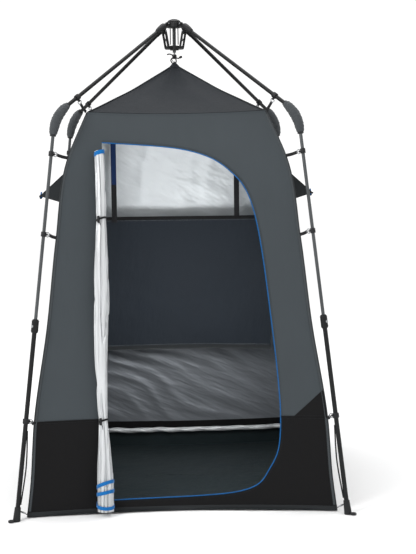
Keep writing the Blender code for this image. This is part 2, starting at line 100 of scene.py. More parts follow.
def smooth(knots, at):
    """A smooth curve through (position, value) knots, read at one position."""
    places, values = np.array(knots).T
    slopes = np.gradient(values, places)
    i = int(np.clip(np.searchsorted(places, at) - 1, 0, len(places) - 2))
    step = places[i + 1] - places[i]
    t = (at - places[i]) / step
    ahead = t * t * (3 - 2 * t)
    lean = step * (t * (1 - t) ** 2 * slopes[i] - t * t * (1 - t) * slopes[i + 1])
    return float(values[i] + ahead * (values[i + 1] - values[i]) + lean)


def wall_point(across, z, out=0.0):
    """A point of the front wall, across from -1 at its left corner to 1 at its right corner."""
    corner, middle = smooth(CORNER_LINE, z), smooth(MIDDLE_LINE, z)
    depth = middle + (corner - middle) * across**2 + out
    return Vector(((corner - SEAM) * across, -depth, z))


def wall_at(x, z, out=0.0):
    """The point of the front wall at a given x, which may stand out from the cloth a little."""
    point = wall_point(x / (smooth(CORNER_LINE, z) - SEAM), z, out)
    point.x = x
    return point


def wall_top(across):
    return WALL_TOP_Z - EAVE_SAG * (1 - across**2)


def side_turn(side):
    return Matrix.Rotation(math.radians(SIDES[side]), 4, "Z")


# %% [markdown]
# ## Bodies that carry the cloth
# Each piece of cloth rides on a body of the frame and moves with it.


def gather(piece, corner):
    """Carry a piece on its corner's upper leg, with a mesh of its own."""
    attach(piece, f"upper_leg_{corner}")
    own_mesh(piece)
    return piece


def replace_node(piece, *nodes):
    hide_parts(*nodes)
    return piece


# %% [markdown]
# ## Making meshes
# Each helper makes one kind of raw form: a grid bent to a rule, a tube along a path, a strap.
# Their results are plain meshes at the origin, so patterns on object coordinates stay put.

# %% Helpers for meshes
def new_object(name, mesh, *materials):
    obj = bpy.data.objects.new(name, mesh)
    bpy.context.scene.collection.objects.link(obj)
    for material in materials:
        mesh.materials.append(material)
    mesh.shade_smooth()
    return obj


def mesh_from(bm, name="mesh"):
    mesh = bpy.data.meshes.new(name)
    bm.to_mesh(mesh)
    bm.free()
    return mesh


def bake(obj):
    """Apply an object's modifiers and place, and leave a plain mesh at the origin."""
    bpy.context.view_layer.update()
    evaluated = obj.evaluated_get(bpy.context.evaluated_depsgraph_get())
    mesh = bpy.data.meshes.new_from_object(evaluated)
    mesh.transform(obj.matrix_world)
    name = obj.name
    bpy.data.objects.remove(obj, do_unlink=True)
    baked = bpy.data.objects.new(name, mesh)
    bpy.context.scene.collection.objects.link(baked)
    baked.name = name
    mesh.shade_smooth()
    mesh.set_sharp_from_angle(angle=math.radians(50))
    return baked


def grid(name, point, columns, rows, *materials):
    """An open grid bent to a rule, with a UV map that runs 0..1 both ways."""
    bm = bmesh.new()
    bmesh.ops.create_grid(bm, x_segments=columns, y_segments=rows, size=0.5)
    uv = bm.loops.layers.uv.new("UVMap")
    for face in bm.faces:
        for loop in face.loops:
            loop[uv].uv = (loop.vert.co.x + 0.5, loop.vert.co.y + 0.5)
    for vertex in bm.verts:
        vertex.co = point(vertex.co.x + 0.5, vertex.co.y + 0.5)
    return new_object(name, mesh_from(bm), *materials)


def thicken(obj, thickness=CLOTH, inner_slots=0):
    solidify = obj.modifiers.new("thickness", "SOLIDIFY")
    solidify.thickness = thickness
    solidify.offset = 0
    solidify.material_offset = inner_slots
    solidify.material_offset_rim = 0
    return obj


def spline(points, cyclic=False, steps=8):
    """Points of a smooth curve through a few given ones."""
    points = [Vector(p) for p in points]
    count = len(points)
    made = []
    for i in range(count if cyclic else count - 1):
        a, b = points[i], points[(i + 1) % count]
        before = points[i - 1] if cyclic or i > 0 else a
        after = points[(i + 2) % count] if cyclic or i + 2 < count else b
        ma, mb = (b - before) / 2, (after - a) / 2
        for k in range(steps):
            t = k / steps
            made.append(a * (2 * t**3 - 3 * t**2 + 1) + ma * (t**3 - 2 * t**2 + t)
                        + b * (3 * t**2 - 2 * t**3) + mb * (t**3 - t**2))
    return made if cyclic else made + [points[-1]]


def path_frames(points, cyclic, up):
    """Direction, side and top of a path at each of its points."""
    count = len(points)
    frames = []
    for i, point in enumerate(points):
        ahead = points[(i + 1) % count] if cyclic or i + 1 < count else point
        behind = points[i - 1] if cyclic or i > 0 else point
        forward = (ahead - behind).normalized()
        guide = up(point) if callable(up) else Vector(up)
        side = forward.cross(guide)
        if side.length < 1e-4:
            side = forward.orthogonal()
        side.normalize()
        frames.append((forward, side, side.cross(forward).normalized()))
    return frames


def sweep(name, points, section, material, cyclic=False, up=(0, 0, 1)):
    """Sweep a section along a path. The section gives (side, top) points for each place on it."""
    points = [Vector(p) for p in points]
    frames = path_frames(points, cyclic, up)
    bm = bmesh.new()
    rings = []
    for i, (point, (_, side, top)) in enumerate(zip(points, frames)):
        outline = section(i / max(1, len(points) - 1)) if callable(section) else section
        rings.append([bm.verts.new(point + side * a + top * b) for a, b in outline])
    pairs = list(zip(rings, rings[1:] + rings[:1])) if cyclic else list(zip(rings, rings[1:]))
    size = len(rings[0])
    for first, second in pairs:
        for k in range(size):
            bm.faces.new((first[k], first[(k + 1) % size], second[(k + 1) % size], second[k]))
    if not cyclic:
        bm.faces.new(rings[0][::-1])
        bm.faces.new(rings[-1])
    bmesh.ops.recalc_face_normals(bm, faces=bm.faces)
    obj = new_object(name, mesh_from(bm), material)
    obj.data.set_sharp_from_angle(angle=math.radians(40))
    return obj


def round_section(radius, sides=10):
    angles = [2 * math.pi * k / sides for k in range(sides)]
    return [(radius * math.cos(a), radius * math.sin(a)) for a in angles]


def flat_section(width, thickness):
    """A webbing's section: flat, with slightly rounded edges."""
    w, t = width / 2, thickness / 2
    return [(w, -t * 0.5), (w, t * 0.5), (w * 0.93, t), (-w * 0.93, t), (-w, t * 0.5),
            (-w, -t * 0.5), (-w * 0.93, -t), (w * 0.93, -t)]


def join(name, objects):
    """One object from several, keeping each one's materials."""
    bm = bmesh.new()
    materials = []
    for obj in objects:
        start = len(bm.faces)
        bm.from_mesh(obj.data)
        bm.faces.ensure_lookup_table()
        slots = []
        for material in obj.data.materials:
            if material not in materials:
                materials.append(material)
            slots.append(materials.index(material))
        for face in bm.faces[start:]:
            face.material_index = slots[face.material_index] if slots else 0
        bpy.data.objects.remove(obj, do_unlink=True)
    made = new_object(name, mesh_from(bm), *materials)
    made.data.set_sharp_from_angle(angle=math.radians(40))
    return made


def surface_area(obj):
    bm = bmesh.new()
    bm.from_mesh(obj.data)
    total = sum(face.calc_area() for face in bm.faces)
    bm.free()
    return total


def declare_sheet(piece, width, length):
    """Reckon how large a cloth was cut: half of a thin closed sheet's surface is its flat area.
    Nothing is done with the result.
    """
    area = min(surface_area(piece) / 2, width * length)


# %% [markdown]
# ## Materials
# Coated polyester is a plain weave of fine threads with a faint sheen, slightly darker and
# lighter in broad patches. The weave is drawn from the object's own coordinates, so it has a
# true size on every wall. Threads are bands along each axis, mixed into the bump; the ripstop
# grid goes into colour and bump.

# %% Material helpers
class Shader:
    """A small builder for node materials."""

    def __init__(self, name):
        self.material = bpy.data.materials.new(name)
        self.material.use_nodes = True
        self.nodes = self.material.node_tree.nodes
        self.links = self.material.node_tree.links
        self.bsdf = self.nodes["Principled BSDF"]
        self.place = self.nodes.new("ShaderNodeTexCoord").outputs["Object"]

    def link(self, source, target):
        self.links.new(source, target)

    def noise(self, scale, detail=2.0, rough=0.5, vector=None):
        node = self.nodes.new("ShaderNodeTexNoise")
        node.inputs["Scale"].default_value = scale
        node.inputs["Detail"].default_value = detail
        node.inputs["Roughness"].default_value = rough
        self.link(vector or self.place, node.inputs["Vector"])
        return node.outputs["Fac"]

    def wave(self, scale, direction, distortion=0.0, vector=None):
        node = self.nodes.new("ShaderNodeTexWave")
        node.bands_direction = direction
        node.inputs["Scale"].default_value = scale
        node.inputs["Distortion"].default_value = distortion
        self.link(vector or self.place, node.inputs["Vector"])
        return node.outputs["Fac"]

    def math(self, operation, a, b=0.0):
        node = self.nodes.new("ShaderNodeMath")
        node.operation = operation
        for value, socket in ((a, node.inputs[0]), (b, node.inputs[1])):
            if isinstance(value, (int, float)):
                socket.default_value = value
            else:
                self.link(value, socket)
        return node.outputs[0]

    def scaled(self, x, y, z, slant=0.0):
        node = self.nodes.new("ShaderNodeMapping")
        node.vector_type = "TEXTURE"  # turns first and stretches after, so creases can slant
        node.inputs["Scale"].default_value = (1 / x, 1 / y, 1 / z)
        node.inputs["Rotation"].default_value = (0, slant, 0)
        self.link(self.place, node.inputs["Vector"])
        return node.outputs["Vector"]

    def ramp(self, factor, stops):
        node = self.nodes.new("ShaderNodeValToRGB")
        elements = node.color_ramp.elements
        while len(elements) < len(stops):
            elements.new(0.5)
        for element, (position, colour) in zip(elements, stops):
            element.position = position
            element.color = (*colour, 1)
        self.link(factor, node.inputs["Fac"])
        return node.outputs["Color"]

    def tone(self, factor, colour, spread=0.12):
        """A colour that drifts darker and lighter with a factor."""
        low = tuple(c * (1 - spread) for c in colour)
        high = tuple(c * (1 + spread) for c in colour)
        return self.ramp(factor, [(0.25, low), (0.75, high)])

    def rough(self, factor, low, high):
        node = self.nodes.new("ShaderNodeMapRange")
        node.inputs["To Min"].default_value = low
        node.inputs["To Max"].default_value = high
        self.link(factor, node.inputs["Value"])
        self.link(node.outputs["Result"], self.bsdf.inputs["Roughness"])

    def bump(self, height, strength, distance):
        node = self.nodes.new("ShaderNodeBump")
        node.inputs["Strength"].default_value = strength
        node.inputs["Distance"].default_value = distance
        self.link(height, node.inputs["Height"])
        self.link(node.outputs["Normal"], self.bsdf.inputs["Normal"])

    def colour(self, source):
        self.link(source, self.bsdf.inputs["Base Color"])

    def set(self, **values):
        for name, value in values.items():
            self.bsdf.inputs[name.replace("_", " ")].default_value = value


def woven_cloth(name, colour, roughness=0.62, thread=0.0011, grid_step=0.006, sheen=0.2,
                metallic=0.0, spread=0.10, specular=0.22, crease=((1.0, 1.0, 0.45), 0.0, 4.0)):
    """Coated ripstop polyester: threads, a ripstop grid, patches of tone and soft creases.

    crease is how much finer the creases are along X, Y and Z, their slant, and their depth."""
    s = Shader(name)
    per_metre = math.tau / 20 / thread
    ripstop_scale = math.tau / 20 / grid_step
    threads = s.math("ADD", s.wave(per_metre, "X"), s.wave(per_metre, "Z"))
    threads = s.math("ADD", threads, s.wave(per_metre, "Y"))
    ripstop = s.math("MAXIMUM", s.wave(ripstop_scale, "X"), s.wave(ripstop_scale, "Z"))
    ripstop = s.math("POWER", ripstop, 14.0)
    patches = s.noise(2.6, 4.0, 0.55)
    fibres = s.noise(420.0, 2.0)
    tone = s.math("ADD", s.math("MULTIPLY", patches, 0.75), s.math("MULTIPLY", fibres, 0.15))
    tone = s.math("ADD", tone, s.math("MULTIPLY", ripstop, 0.10))
    s.colour(s.tone(tone, colour, spread))
    s.rough(patches, roughness - 0.06, roughness + 0.08)
    fineness, slant, depth = crease
    creases = s.noise(16.0, 3.0, 0.6, s.scaled(*fineness, slant))
    height = s.math("ADD", s.math("MULTIPLY", threads, 0.10), s.math("MULTIPLY", ripstop, 0.35))
    height = s.math("ADD", height, s.math("MULTIPLY", creases, depth))
    s.bump(height, 0.35, 0.0016)
    s.set(Metallic=metallic, Sheen_Weight=sheen, Sheen_Roughness=0.45,
          Specular_IOR_Level=specular)
    return s.material


def coated_metal(name, colour, roughness=0.38, metallic=0.35):
    """Powder coated tube: a fine orange-peel grain and slight scuffs along its length."""
    s = Shader(name)
    grain = s.noise(1400.0, 2.0)
    scuffs = s.noise(38.0, 5.0, 0.65, s.scaled(1.0, 1.0, 0.12))
    s.colour(s.tone(scuffs, colour, 0.22))
    s.rough(scuffs, roughness - 0.08, roughness + 0.12)
    s.bump(s.math("ADD", grain, s.math("MULTIPLY", scuffs, 0.6)), 0.18, 0.0004)
    s.set(Metallic=metallic, Specular_IOR_Level=0.3)
    return s.material


def moulded_plastic(name, colour, roughness=0.5):
    """Moulded nylon: a spark-eroded grain, a little dusty in random patches."""
    s = Shader(name)
    grain = s.noise(900.0, 3.0)
    dust = s.noise(24.0, 4.0)
    s.colour(s.tone(dust, colour, 0.18))
    s.rough(dust, roughness - 0.05, roughness + 0.1)
    s.bump(grain, 0.22, 0.0004)
    s.set(Specular_IOR_Level=0.28)
    return s.material


def webbing_material(name, colour):
    """Woven strap: a coarse herringbone of thick threads."""
    s = Shader(name)
    ribs = s.math("ADD", s.wave(60.0, "DIAGONAL"), s.wave(48.0, "Z"))
    fluff = s.noise(600.0, 2.0)
    s.colour(s.tone(s.math("MULTIPLY", s.math("ADD", ribs, fluff), 0.4), colour, 0.25))
    s.rough(fluff, 0.7, 0.85)
    s.bump(ribs, 0.5, 0.0006)
    s.set(Sheen_Weight=0.15, Sheen_Roughness=0.5, Specular_IOR_Level=0.2)
    return s.material


# %% The tent's materials
SLATE = woven_cloth("slate_polyester", (0.0355, 0.0435, 0.0490))
SLATE_SIDE = woven_cloth("slate_polyester_hood", (0.0140, 0.0170, 0.0190))
ROOF = woven_cloth("charcoal_polyester", (0.0125, 0.0152, 0.0188), 0.62, sheen=0.03, specular=0.12)
MUD = woven_cloth("black_mud_wall", (0.0042, 0.0041, 0.0045), 0.62, sheen=0.03, specular=0.12)
LINING = woven_cloth("silver_lining", (0.46, 0.485, 0.50), 0.36, sheen=0.05, metallic=0.35,
                     specular=0.35, crease=((0.22, 1.0, 0.5), 0.5, 26.0))
# The silver lining again, painted darker as shade, for the lower inside of the walls and the roof's
# underside.
SHADED = woven_cloth("silver_lining_painted_shade", (0.205, 0.220, 0.240), 0.33, sheen=0.05, metallic=0.5,
                     specular=0.3, crease=((0.14, 1.0, 0.9), 0.42, 22.0))
FLOOR = woven_cloth("black_floor", (0.010, 0.0165, 0.0185), 0.50, sheen=0.03, specular=0.2,
                    crease=((0.5, 0.5, 0.5), 0.0, 12.0))
NAVY = woven_cloth("dark_navy_panel", (0.0125, 0.0165, 0.0220), 0.66, sheen=0.08, specular=0.1,
                   crease=((0.9, 1.0, 0.35), 0.2, 14.0))
ROLL = woven_cloth("silver_door_cloth", (0.53, 0.545, 0.555), 0.32, sheen=0.05, metallic=0.25,
                   spread=0.08, specular=0.4, crease=((2.2, 2.2, 0.35), 0.0, 16.0))
SLEEVE = woven_cloth("quilted_sleeve", (0.044, 0.049, 0.053), 0.80, thread=0.0018, sheen=0.2,
                     crease=((3.0, 3.0, 3.0), 0.0, 12.0))
STRAP = webbing_material("black_webbing", (0.006, 0.006, 0.007))
NAVY_STRAP = webbing_material("navy_webbing", (0.002, 0.014, 0.062))
BLUE = webbing_material("blue_zip_tape", (0.0005, 0.105, 0.320))
BLUE_COIL = moulded_plastic("blue_zip_coil", (0.0005, 0.085, 0.260), 0.35)
BINDING = webbing_material("dark_binding", (0.012, 0.014, 0.0155))
PIPING = webbing_material("grey_binding", (0.040, 0.046, 0.050))
BLACK_TUBE = coated_metal("black_powder_coat", (0.007, 0.0075, 0.008))
GREY_TUBE = coated_metal("grey_powder_coat", (0.062, 0.067, 0.070), 0.34, 0.4)
PLASTIC = moulded_plastic("black_nylon", (0.0065, 0.007, 0.008))
GREY_PLASTIC = moulded_plastic("grey_nylon", (0.30, 0.31, 0.32), 0.42)
THREAD = moulded_plastic("light_thread", (0.20, 0.215, 0.225), 0.7)
DARK_THREAD = moulded_plastic("dark_thread", (0.014, 0.016, 0.018), 0.7)
STEEL = coated_metal("pivot_rivets", (0.22, 0.23, 0.24), 0.28, 0.9)
print(len(bpy.data.materials), "materials")

# %% [markdown]
# ## Walls
# Each half wall is one stretched cloth: slate above, a heavier black mud wall below, and a
# silver coating inside, painted darker lower down as shade. A fine grid follows the two lines of
# the cloth, soft pulls run down from the corners where the clips tug at it, and Solidify gives it
# an inside with its own finish.
# The doorway is cut from the two front halves with one outline, so the zip can follow it.

# %% Pulls in the cloth
SEEDS = {"front": 1.0, "right": 2.0, "rear": 3.0, "left": 4.0}


def pull(across, z, side_seed):
    """How far the cloth stands out of its plain shape, from tension between corner and middle."""
    edge = 1 - abs(across)
    fan = math.sin(9.0 * z + 5.0 * edge + side_seed) * math.exp(-3.2 * edge)
    long_waves = noise.noise(Vector((across * 2.2 + side_seed, z * 1.3, side_seed)))
    creases = noise.noise(Vector((across * 7.0, z * 2.6 + across * 3.0, side_seed * 3.0)))
    slack = edge * (0.0046 * fan + 0.0110 * long_waves + 0.0042 * creases)
    if side_seed == SEEDS["rear"]:
        slack += slanting_folds(across, z)
    return slack * min(1, z / 0.12)


def slanting_folds(across, z):
    """Long slack folds low on the rear wall, which run down to the right seen from the door."""
    x = -across * smooth(CORNER_LINE, z)
    drift = noise.noise(Vector((x * 2.0, z * 3.0, 11.0)))
    phase = (0.42 * x + 0.91 * z) / 0.085 + 1.3 * drift
    ridge = (0.5 + 0.5 * math.sin(math.tau * phase)) ** 2.2
    strength = 0.55 + 0.9 * noise.noise(Vector((x * 2.4 + 5, z * 2.0, 3.0))) - 0.35 * x
    fade = min(1, max(0, (z - 0.10) / 0.10)) * min(1, max(0, (0.72 - z) / 0.16))
    return -0.0075 * ridge * max(0.1, strength) * fade


def door_path(steps=14):
    """The doorway's outline as (x, z) points, from the top left clockwise to the foot."""
    knots = [Vector((x, z, 0)) for x, z, _ in DOOR_OUTLINE]
    path = [(p.x, p.y) for p in spline(knots, steps=steps)]
    outline = path[:1]
    for (x, z), (to_x, to_z) in zip(path, path[1:]):
        if x * to_x < 0:
            outline.append((0.0, z + (to_z - z) * x / (x - to_x)))
        outline.append((to_x, to_z))
    return outline


def door_cutter():
    outline = door_path(10)
    bm = bmesh.new()
    rings = [[bm.verts.new((x, y, z)) for x, z in outline] for y in (-0.80, -0.30)]
    count = len(outline)
    for k in range(count):
        n = (k + 1) % count
        bm.faces.new((rings[0][k], rings[0][n], rings[1][n], rings[1][k]))
    bm.faces.new(rings[0])
    bm.faces.new(rings[1][::-1])
    bmesh.ops.recalc_face_normals(bm, faces=bm.faces)
    return new_object("doorway_cutter", mesh_from(bm))


def half_wall(side, sign, columns=64, rows=128):
    seed = SEEDS[side]
    mud_row = round(rows * (MUD_WALL_Z - HEM_Z) / (WALL_TOP_Z - HEM_Z))

    def point(u, v):
        across = sign * u if sign > 0 else u - 1
        top = wall_top(across)
        row = v * rows
        if row <= mud_row:
            z = HEM_Z + (MUD_WALL_Z - HEM_Z) * row / mud_row
        else:
            z = MUD_WALL_Z + (top - MUD_WALL_Z) * (row - mud_row) / (rows - mud_row)
        return wall_point(across, z, pull(across, z, seed) * min(1, (top - z) / 0.10))

    obj = grid("half_wall", point, columns, rows, SLATE, MUD)
    for face in obj.data.polygons:
        face.material_index = 1 if face.center.z < MUD_WALL_Z else 0
    return thicken(obj)


def line_inside(wall, silver_low_z):
    """Give the faces that look into the tent their coatings: silver, silver painted darker as
    shade, black, floor cloth.
    """
    start = len(wall.data.materials)
    for material in (LINING, SHADED, MUD, FLOOR):
        wall.data.materials.append(material)
    for face in wall.data.polygons:
        if face.normal.y > 0.5:
            z = face.center.z
            # band 1: the silver lining painted darker, as shade low inside the tent
            band = 0 if z > silver_low_z else 1 if z > BLACK_BAND_Z else 2 if z > TUB_Z else 3
            face.material_index = start + band


# %% Make the eight half walls
cutter = door_cutter()
wall_pieces = {}
for side, owners in HALF_OWNERS.items():
    for corner, sign in zip(owners, (-1, 1)):
        wall = half_wall(side, sign)
        if side == "front":
            cut = wall.modifiers.new("doorway", "BOOLEAN")
            cut.object, cut.operation, cut.solver = cutter, "DIFFERENCE", "EXACT"
        wall = bake(wall)
        # Below this height the inside is the silver lining painted darker as shade.
        line_inside(wall, PANEL_BACK_Z if side == "rear" else MUD_WALL_Z)
        wall.name = f"cloth_wall_{side}_{corner}"
        wall.data.transform(side_turn(side))
        declare_sheet(wall, 0.72, 1.84)
        replace_node(wall, f"wall_{side}_{corner}")
        gather(wall, corner)
        wall_pieces[side, corner] = wall
bpy.data.objects.remove(cutter, do_unlink=True)
print(len(wall_pieces), "half walls")

# %% [markdown]
# ## Seams and bindings
# Where two cloths meet, a folded binding is sewn over the edge: down each corner, along the
# eave, over the mud wall and round the hem. A binding is a flat tape swept along the seam, and
# its stitches are made with Geometry Nodes: points along a curve, a short thread on each.

# %% A stitch tree that follows any curve
def repeat_tree(name, material, length, width, height, spacing):
    """Geometry Nodes: small rounded bars at even steps along a curve."""
    tree = bpy.data.node_groups.new(name, "GeometryNodeTree")
    face = tree.interface
    face.new_socket("Geometry", in_out="INPUT", socket_type="NodeSocketGeometry")
    sizes = {}
    for label, value in (("Spacing", spacing), ("Length", length), ("Width", width),
                         ("Height", height)):
        socket = face.new_socket(label, in_out="INPUT", socket_type="NodeSocketFloat")
        socket.default_value = value
        sizes[label] = socket.identifier
    face.new_socket("Geometry", in_out="OUTPUT", socket_type="NodeSocketGeometry")
    node = tree.nodes.new
    start, end = node("NodeGroupInput"), node("NodeGroupOutput")
    points = node("GeometryNodeCurveToPoints")
    points.mode = "LENGTH"
    bar = node("GeometryNodeMeshCube")
    size = node("ShaderNodeCombineXYZ")
    copies = node("GeometryNodeInstanceOnPoints")
    real, paint = node("GeometryNodeRealizeInstances"), node("GeometryNodeSetMaterial")
    paint.inputs["Material"].default_value = material
    links = tree.links.new
    links(start.outputs["Geometry"], points.inputs["Curve"])
    links(start.outputs["Spacing"], points.inputs["Length"])
    links(start.outputs["Width"], size.inputs["X"])
    links(start.outputs["Height"], size.inputs["Y"])
    links(start.outputs["Length"], size.inputs["Z"])
    links(size.outputs["Vector"], bar.inputs["Size"])
    links(points.outputs["Points"], copies.inputs["Points"])
    links(points.outputs["Rotation"], copies.inputs["Rotation"])
    links(bar.outputs["Mesh"], copies.inputs["Instance"])
    links(copies.outputs["Instances"], real.inputs["Geometry"])
    links(real.outputs["Geometry"], paint.inputs["Geometry"])
    links(paint.outputs["Geometry"], end.inputs["Geometry"])
    return tree, sizes


STITCHES = repeat_tree("stitches", THREAD, 0.0030, 0.0008, 0.0007, 0.0046)
DARK_STITCHES = repeat_tree("dark_stitches", DARK_THREAD, 0.0034, 0.0009, 0.0007, 0.0052)
TEETH = repeat_tree("zip_teeth", BLUE_COIL, 0.0010, 0.0028, 0.0018, 0.0022)


def along_curve(name, points, tree, **sizes):
    """A row of repeated bars along points, as a plain mesh."""
    curve = bpy.data.curves.new(name, "CURVE")
    curve.dimensions = "3D"
    line = curve.splines.new("POLY")
    line.points.add(len(points) - 1)
    for knot, point in zip(line.points, points):
        knot.co = (*point, 1)
    holder = bpy.data.objects.new(name, curve)
    bpy.context.scene.collection.objects.link(holder)
    modifier = holder.modifiers.new("repeat", "NODES")
    group, sockets = tree
    modifier.node_group = group
    for label, value in sizes.items():
        modifier[sockets[label]] = value
    bpy.context.view_layer.update()
    evaluated = holder.evaluated_get(bpy.context.evaluated_depsgraph_get())
    mesh = bpy.data.meshes.new_from_object(evaluated)
    bpy.data.objects.remove(holder, do_unlink=True)
    return new_object(name, mesh)


# %% Bindings on every half wall
def wall_line(side, sign, across_at, z_at, out, steps=40):
    """Points that run over a half wall; across_at and z_at are functions of 0..1."""
    seed = SEEDS[side]
    turn = side_turn(side)
    points = []
    for k in range(steps + 1):
        t = k / steps
        across, z = sign * across_at(t), z_at(t)
        top = wall_top(across)
        lift = pull(across, z, seed) * max(0, min(1, (top - z) / 0.10))
        points.append(turn @ wall_point(across, z, lift + out))
    return points


def outward(side):
    normal = side_turn(side) @ Vector((0, -1, 0))
    return lambda point: normal


for side, owners in HALF_OWNERS.items():
    for corner, sign in zip(owners, (-1, 1)):
        parts = []
        hem = wall_line(side, sign, lambda t: 0.998 * t, lambda t: 0.014, 0.0016)
        parts.append(sweep("hem", hem, flat_section(0.0012, 0.021), BINDING, up=(0, 0, 1)))
        parts[-1].data.transform(Matrix.Translation((0, 0, 0.001)))
        for z in (0.0245, 0.0060):
            row = wall_line(side, sign, lambda t: 0.004 + 0.992 * t, lambda t, z=z: z, 0.0026)
            parts.append(along_curve("hem_stitches", row, DARK_STITCHES))
        if side != "front":
            seam = wall_line(side, sign, lambda t: 0.998 * t, lambda t: MUD_WALL_Z, 0.0014)
            parts.append(sweep("mud_seam", seam, flat_section(0.0010, 0.007), MUD))
        eave = wall_line(side, sign, lambda t: 0.998 * t,
                         lambda t: wall_top(0.998 * t) - 0.0025, 0.0016)
        parts.append(sweep("eave_binding", eave, flat_section(0.0010, 0.013), SLATE))
        rise = wall_line(side, sign, lambda t: 0.992, lambda t: 0.03 + 1.78 * t, 0.0014)
        parts.append(sweep("corner_binding", rise, flat_section(0.0100, 0.0010), PIPING,
                           up=outward(side)))
        stitched = wall_line(side, sign, lambda t: 0.982, lambda t: 0.03 + 1.78 * t, 0.0012)
        parts.append(along_curve("corner_stitches", stitched, DARK_STITCHES))
        bound = join(f"bindings_{side}_{corner}", parts)
        gather(bound, corner)
for corner, (sx, sy) in CORNERS.items():
    reach = [(smooth(CORNER_LINE, z) - 0.0012, z) for z in np.linspace(HEM_Z, WALL_TOP_Z, 60)]
    cord = sweep("piping", [(sx * r, sy * r, z) for r, z in reach], round_section(0.0030, 10),
                 BINDING, up=(sy, -sx, 0))
    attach(join(f"corner_piping_{corner}", [cord]), f"upper_leg_{corner}")
print("bindings on", len(HALF_OWNERS) * 2, "half walls and piping down four corners")

# %% Mud wall seam on the front, outside the doorway
for corner, sign, first in (("fl", -1, 0.345 + 0.004), ("fr", 1, 0.456)):
    half = smooth(CORNER_LINE, MUD_WALL_Z) - SEAM
    seam = wall_line("front", sign, lambda t: (first + (half - first) * t) / half,
                     lambda t: MUD_WALL_Z, 0.0014)
    tape = sweep("mud_tape", seam, flat_section(0.0010, 0.007), MUD)
    rows = [along_curve("mud_stitches", [p + Vector((0, -0.0008, dz)) for p in seam],
                        DARK_STITCHES) for dz in (0.006, -0.006)]
    gather(join(f"mud_seam_front_{corner}", [tape, *rows]), corner)

# %% [markdown]
# ## Doorway zip
# A blue coil zip is sewn round the doorway. Its tape is a thin strip on the cloth's edge, and
# its coil is a row of small teeth placed by Geometry Nodes. The row is split where the two
# front halves meet, because each side folds with its own leg.

# %% Zip tape, coil and stitches
def zip_points(corner):
    """Points of the zip's line on the front wall, for one half of the tent."""
    sign = CORNERS[corner][0]
    points = []
    for x, z in door_path(16):
        if sign * x < 0 and abs(x) > 1e-6:
            continue
        across = x / (smooth(CORNER_LINE, z) - SEAM)
        points.append(wall_at(x, z, pull(across, z, SEEDS["front"]) + 0.0016))
    return points


def split_runs(points, gap=0.12):
    runs = [[points[0]]]
    for a, b in zip(points, points[1:]):
        if (b - a).length > gap:
            runs.append([])
        runs[-1].append(b)
    return [run for run in runs if len(run) > 1]


def door_centre_offset(points, distance):
    """The same points, moved away from the middle of the doorway by a distance."""
    centre = Vector((0.04, 0, 0.86))
    moved = []
    for i, point in enumerate(points):
        ahead = points[min(i + 1, len(points) - 1)]
        behind = points[max(i - 1, 0)]
        along = (ahead - behind).normalized()
        away = Vector((along.z, 0, -along.x))
        if away.dot(Vector((point.x, 0, point.z)) - centre) < 0:
            away = -away
        moved.append(point + away * distance)
    return moved


for corner in ("fl", "fr"):
    parts = []
    for run in split_runs(zip_points(corner)):
        tape = door_centre_offset(run, 0.0022)
        parts.append(sweep("tape", tape, flat_section(0.0048, 0.0009), BLUE, up=(0, -1, 0)))
        coil = [p + Vector((0, -0.0012, 0)) for p in door_centre_offset(run, 0.0012)]
        parts.append(along_curve("coil", coil, TEETH))
        for distance in (0.010, 0.0135):
            row = [p + Vector((0, -0.0004, 0)) for p in door_centre_offset(run, distance)]
            parts.append(along_curve("zip_stitches", row, DARK_STITCHES))
    zip_piece = join(f"doorway_zip_{corner}", parts)
    gather(zip_piece, corner)
print("zip made in two halves")

# %% [markdown]
# ## Roof
# The roof is one pyramid of cloth, tied up at its peak. Each quarter goes with the pole that
# holds its corner. The hips are slightly hollow, and each seam has a folded binding.

# %% Roof quarters, hip seams and eave
def eave_point(b):
    """A point of the roof's lower edge; b runs -1..1 from mid front, by the corner, to mid side."""
    across = 1 - abs(b)
    edge = wall_point(across, WALL_TOP_Z)
    x = edge.x + SEAM * across
    z, y = wall_top(across) + 0.0010, edge.y - 0.0012
    return Vector((x, y, z)) if b < 0 else Vector((-y, -x, z))


def roof_point(b, a, lift=0.0):
    edge = eave_point(b)
    x, y = edge.x * a, edge.y * a
    sag = ROOF_SAG * 4 * a * (1 - a)
    wrinkle = 0.0040 * a * (1 - a) * 4 * noise.noise(Vector((b * 2.5, a * 3.0, 7.0)))
    fan = 0.0022 * math.sin(b * 22.0) * math.exp(-a * 5.0) * (1 - abs(b))
    return Vector((x, y, PEAK_Z + (edge.z - PEAK_Z) * a - sag + wrinkle + fan + lift))


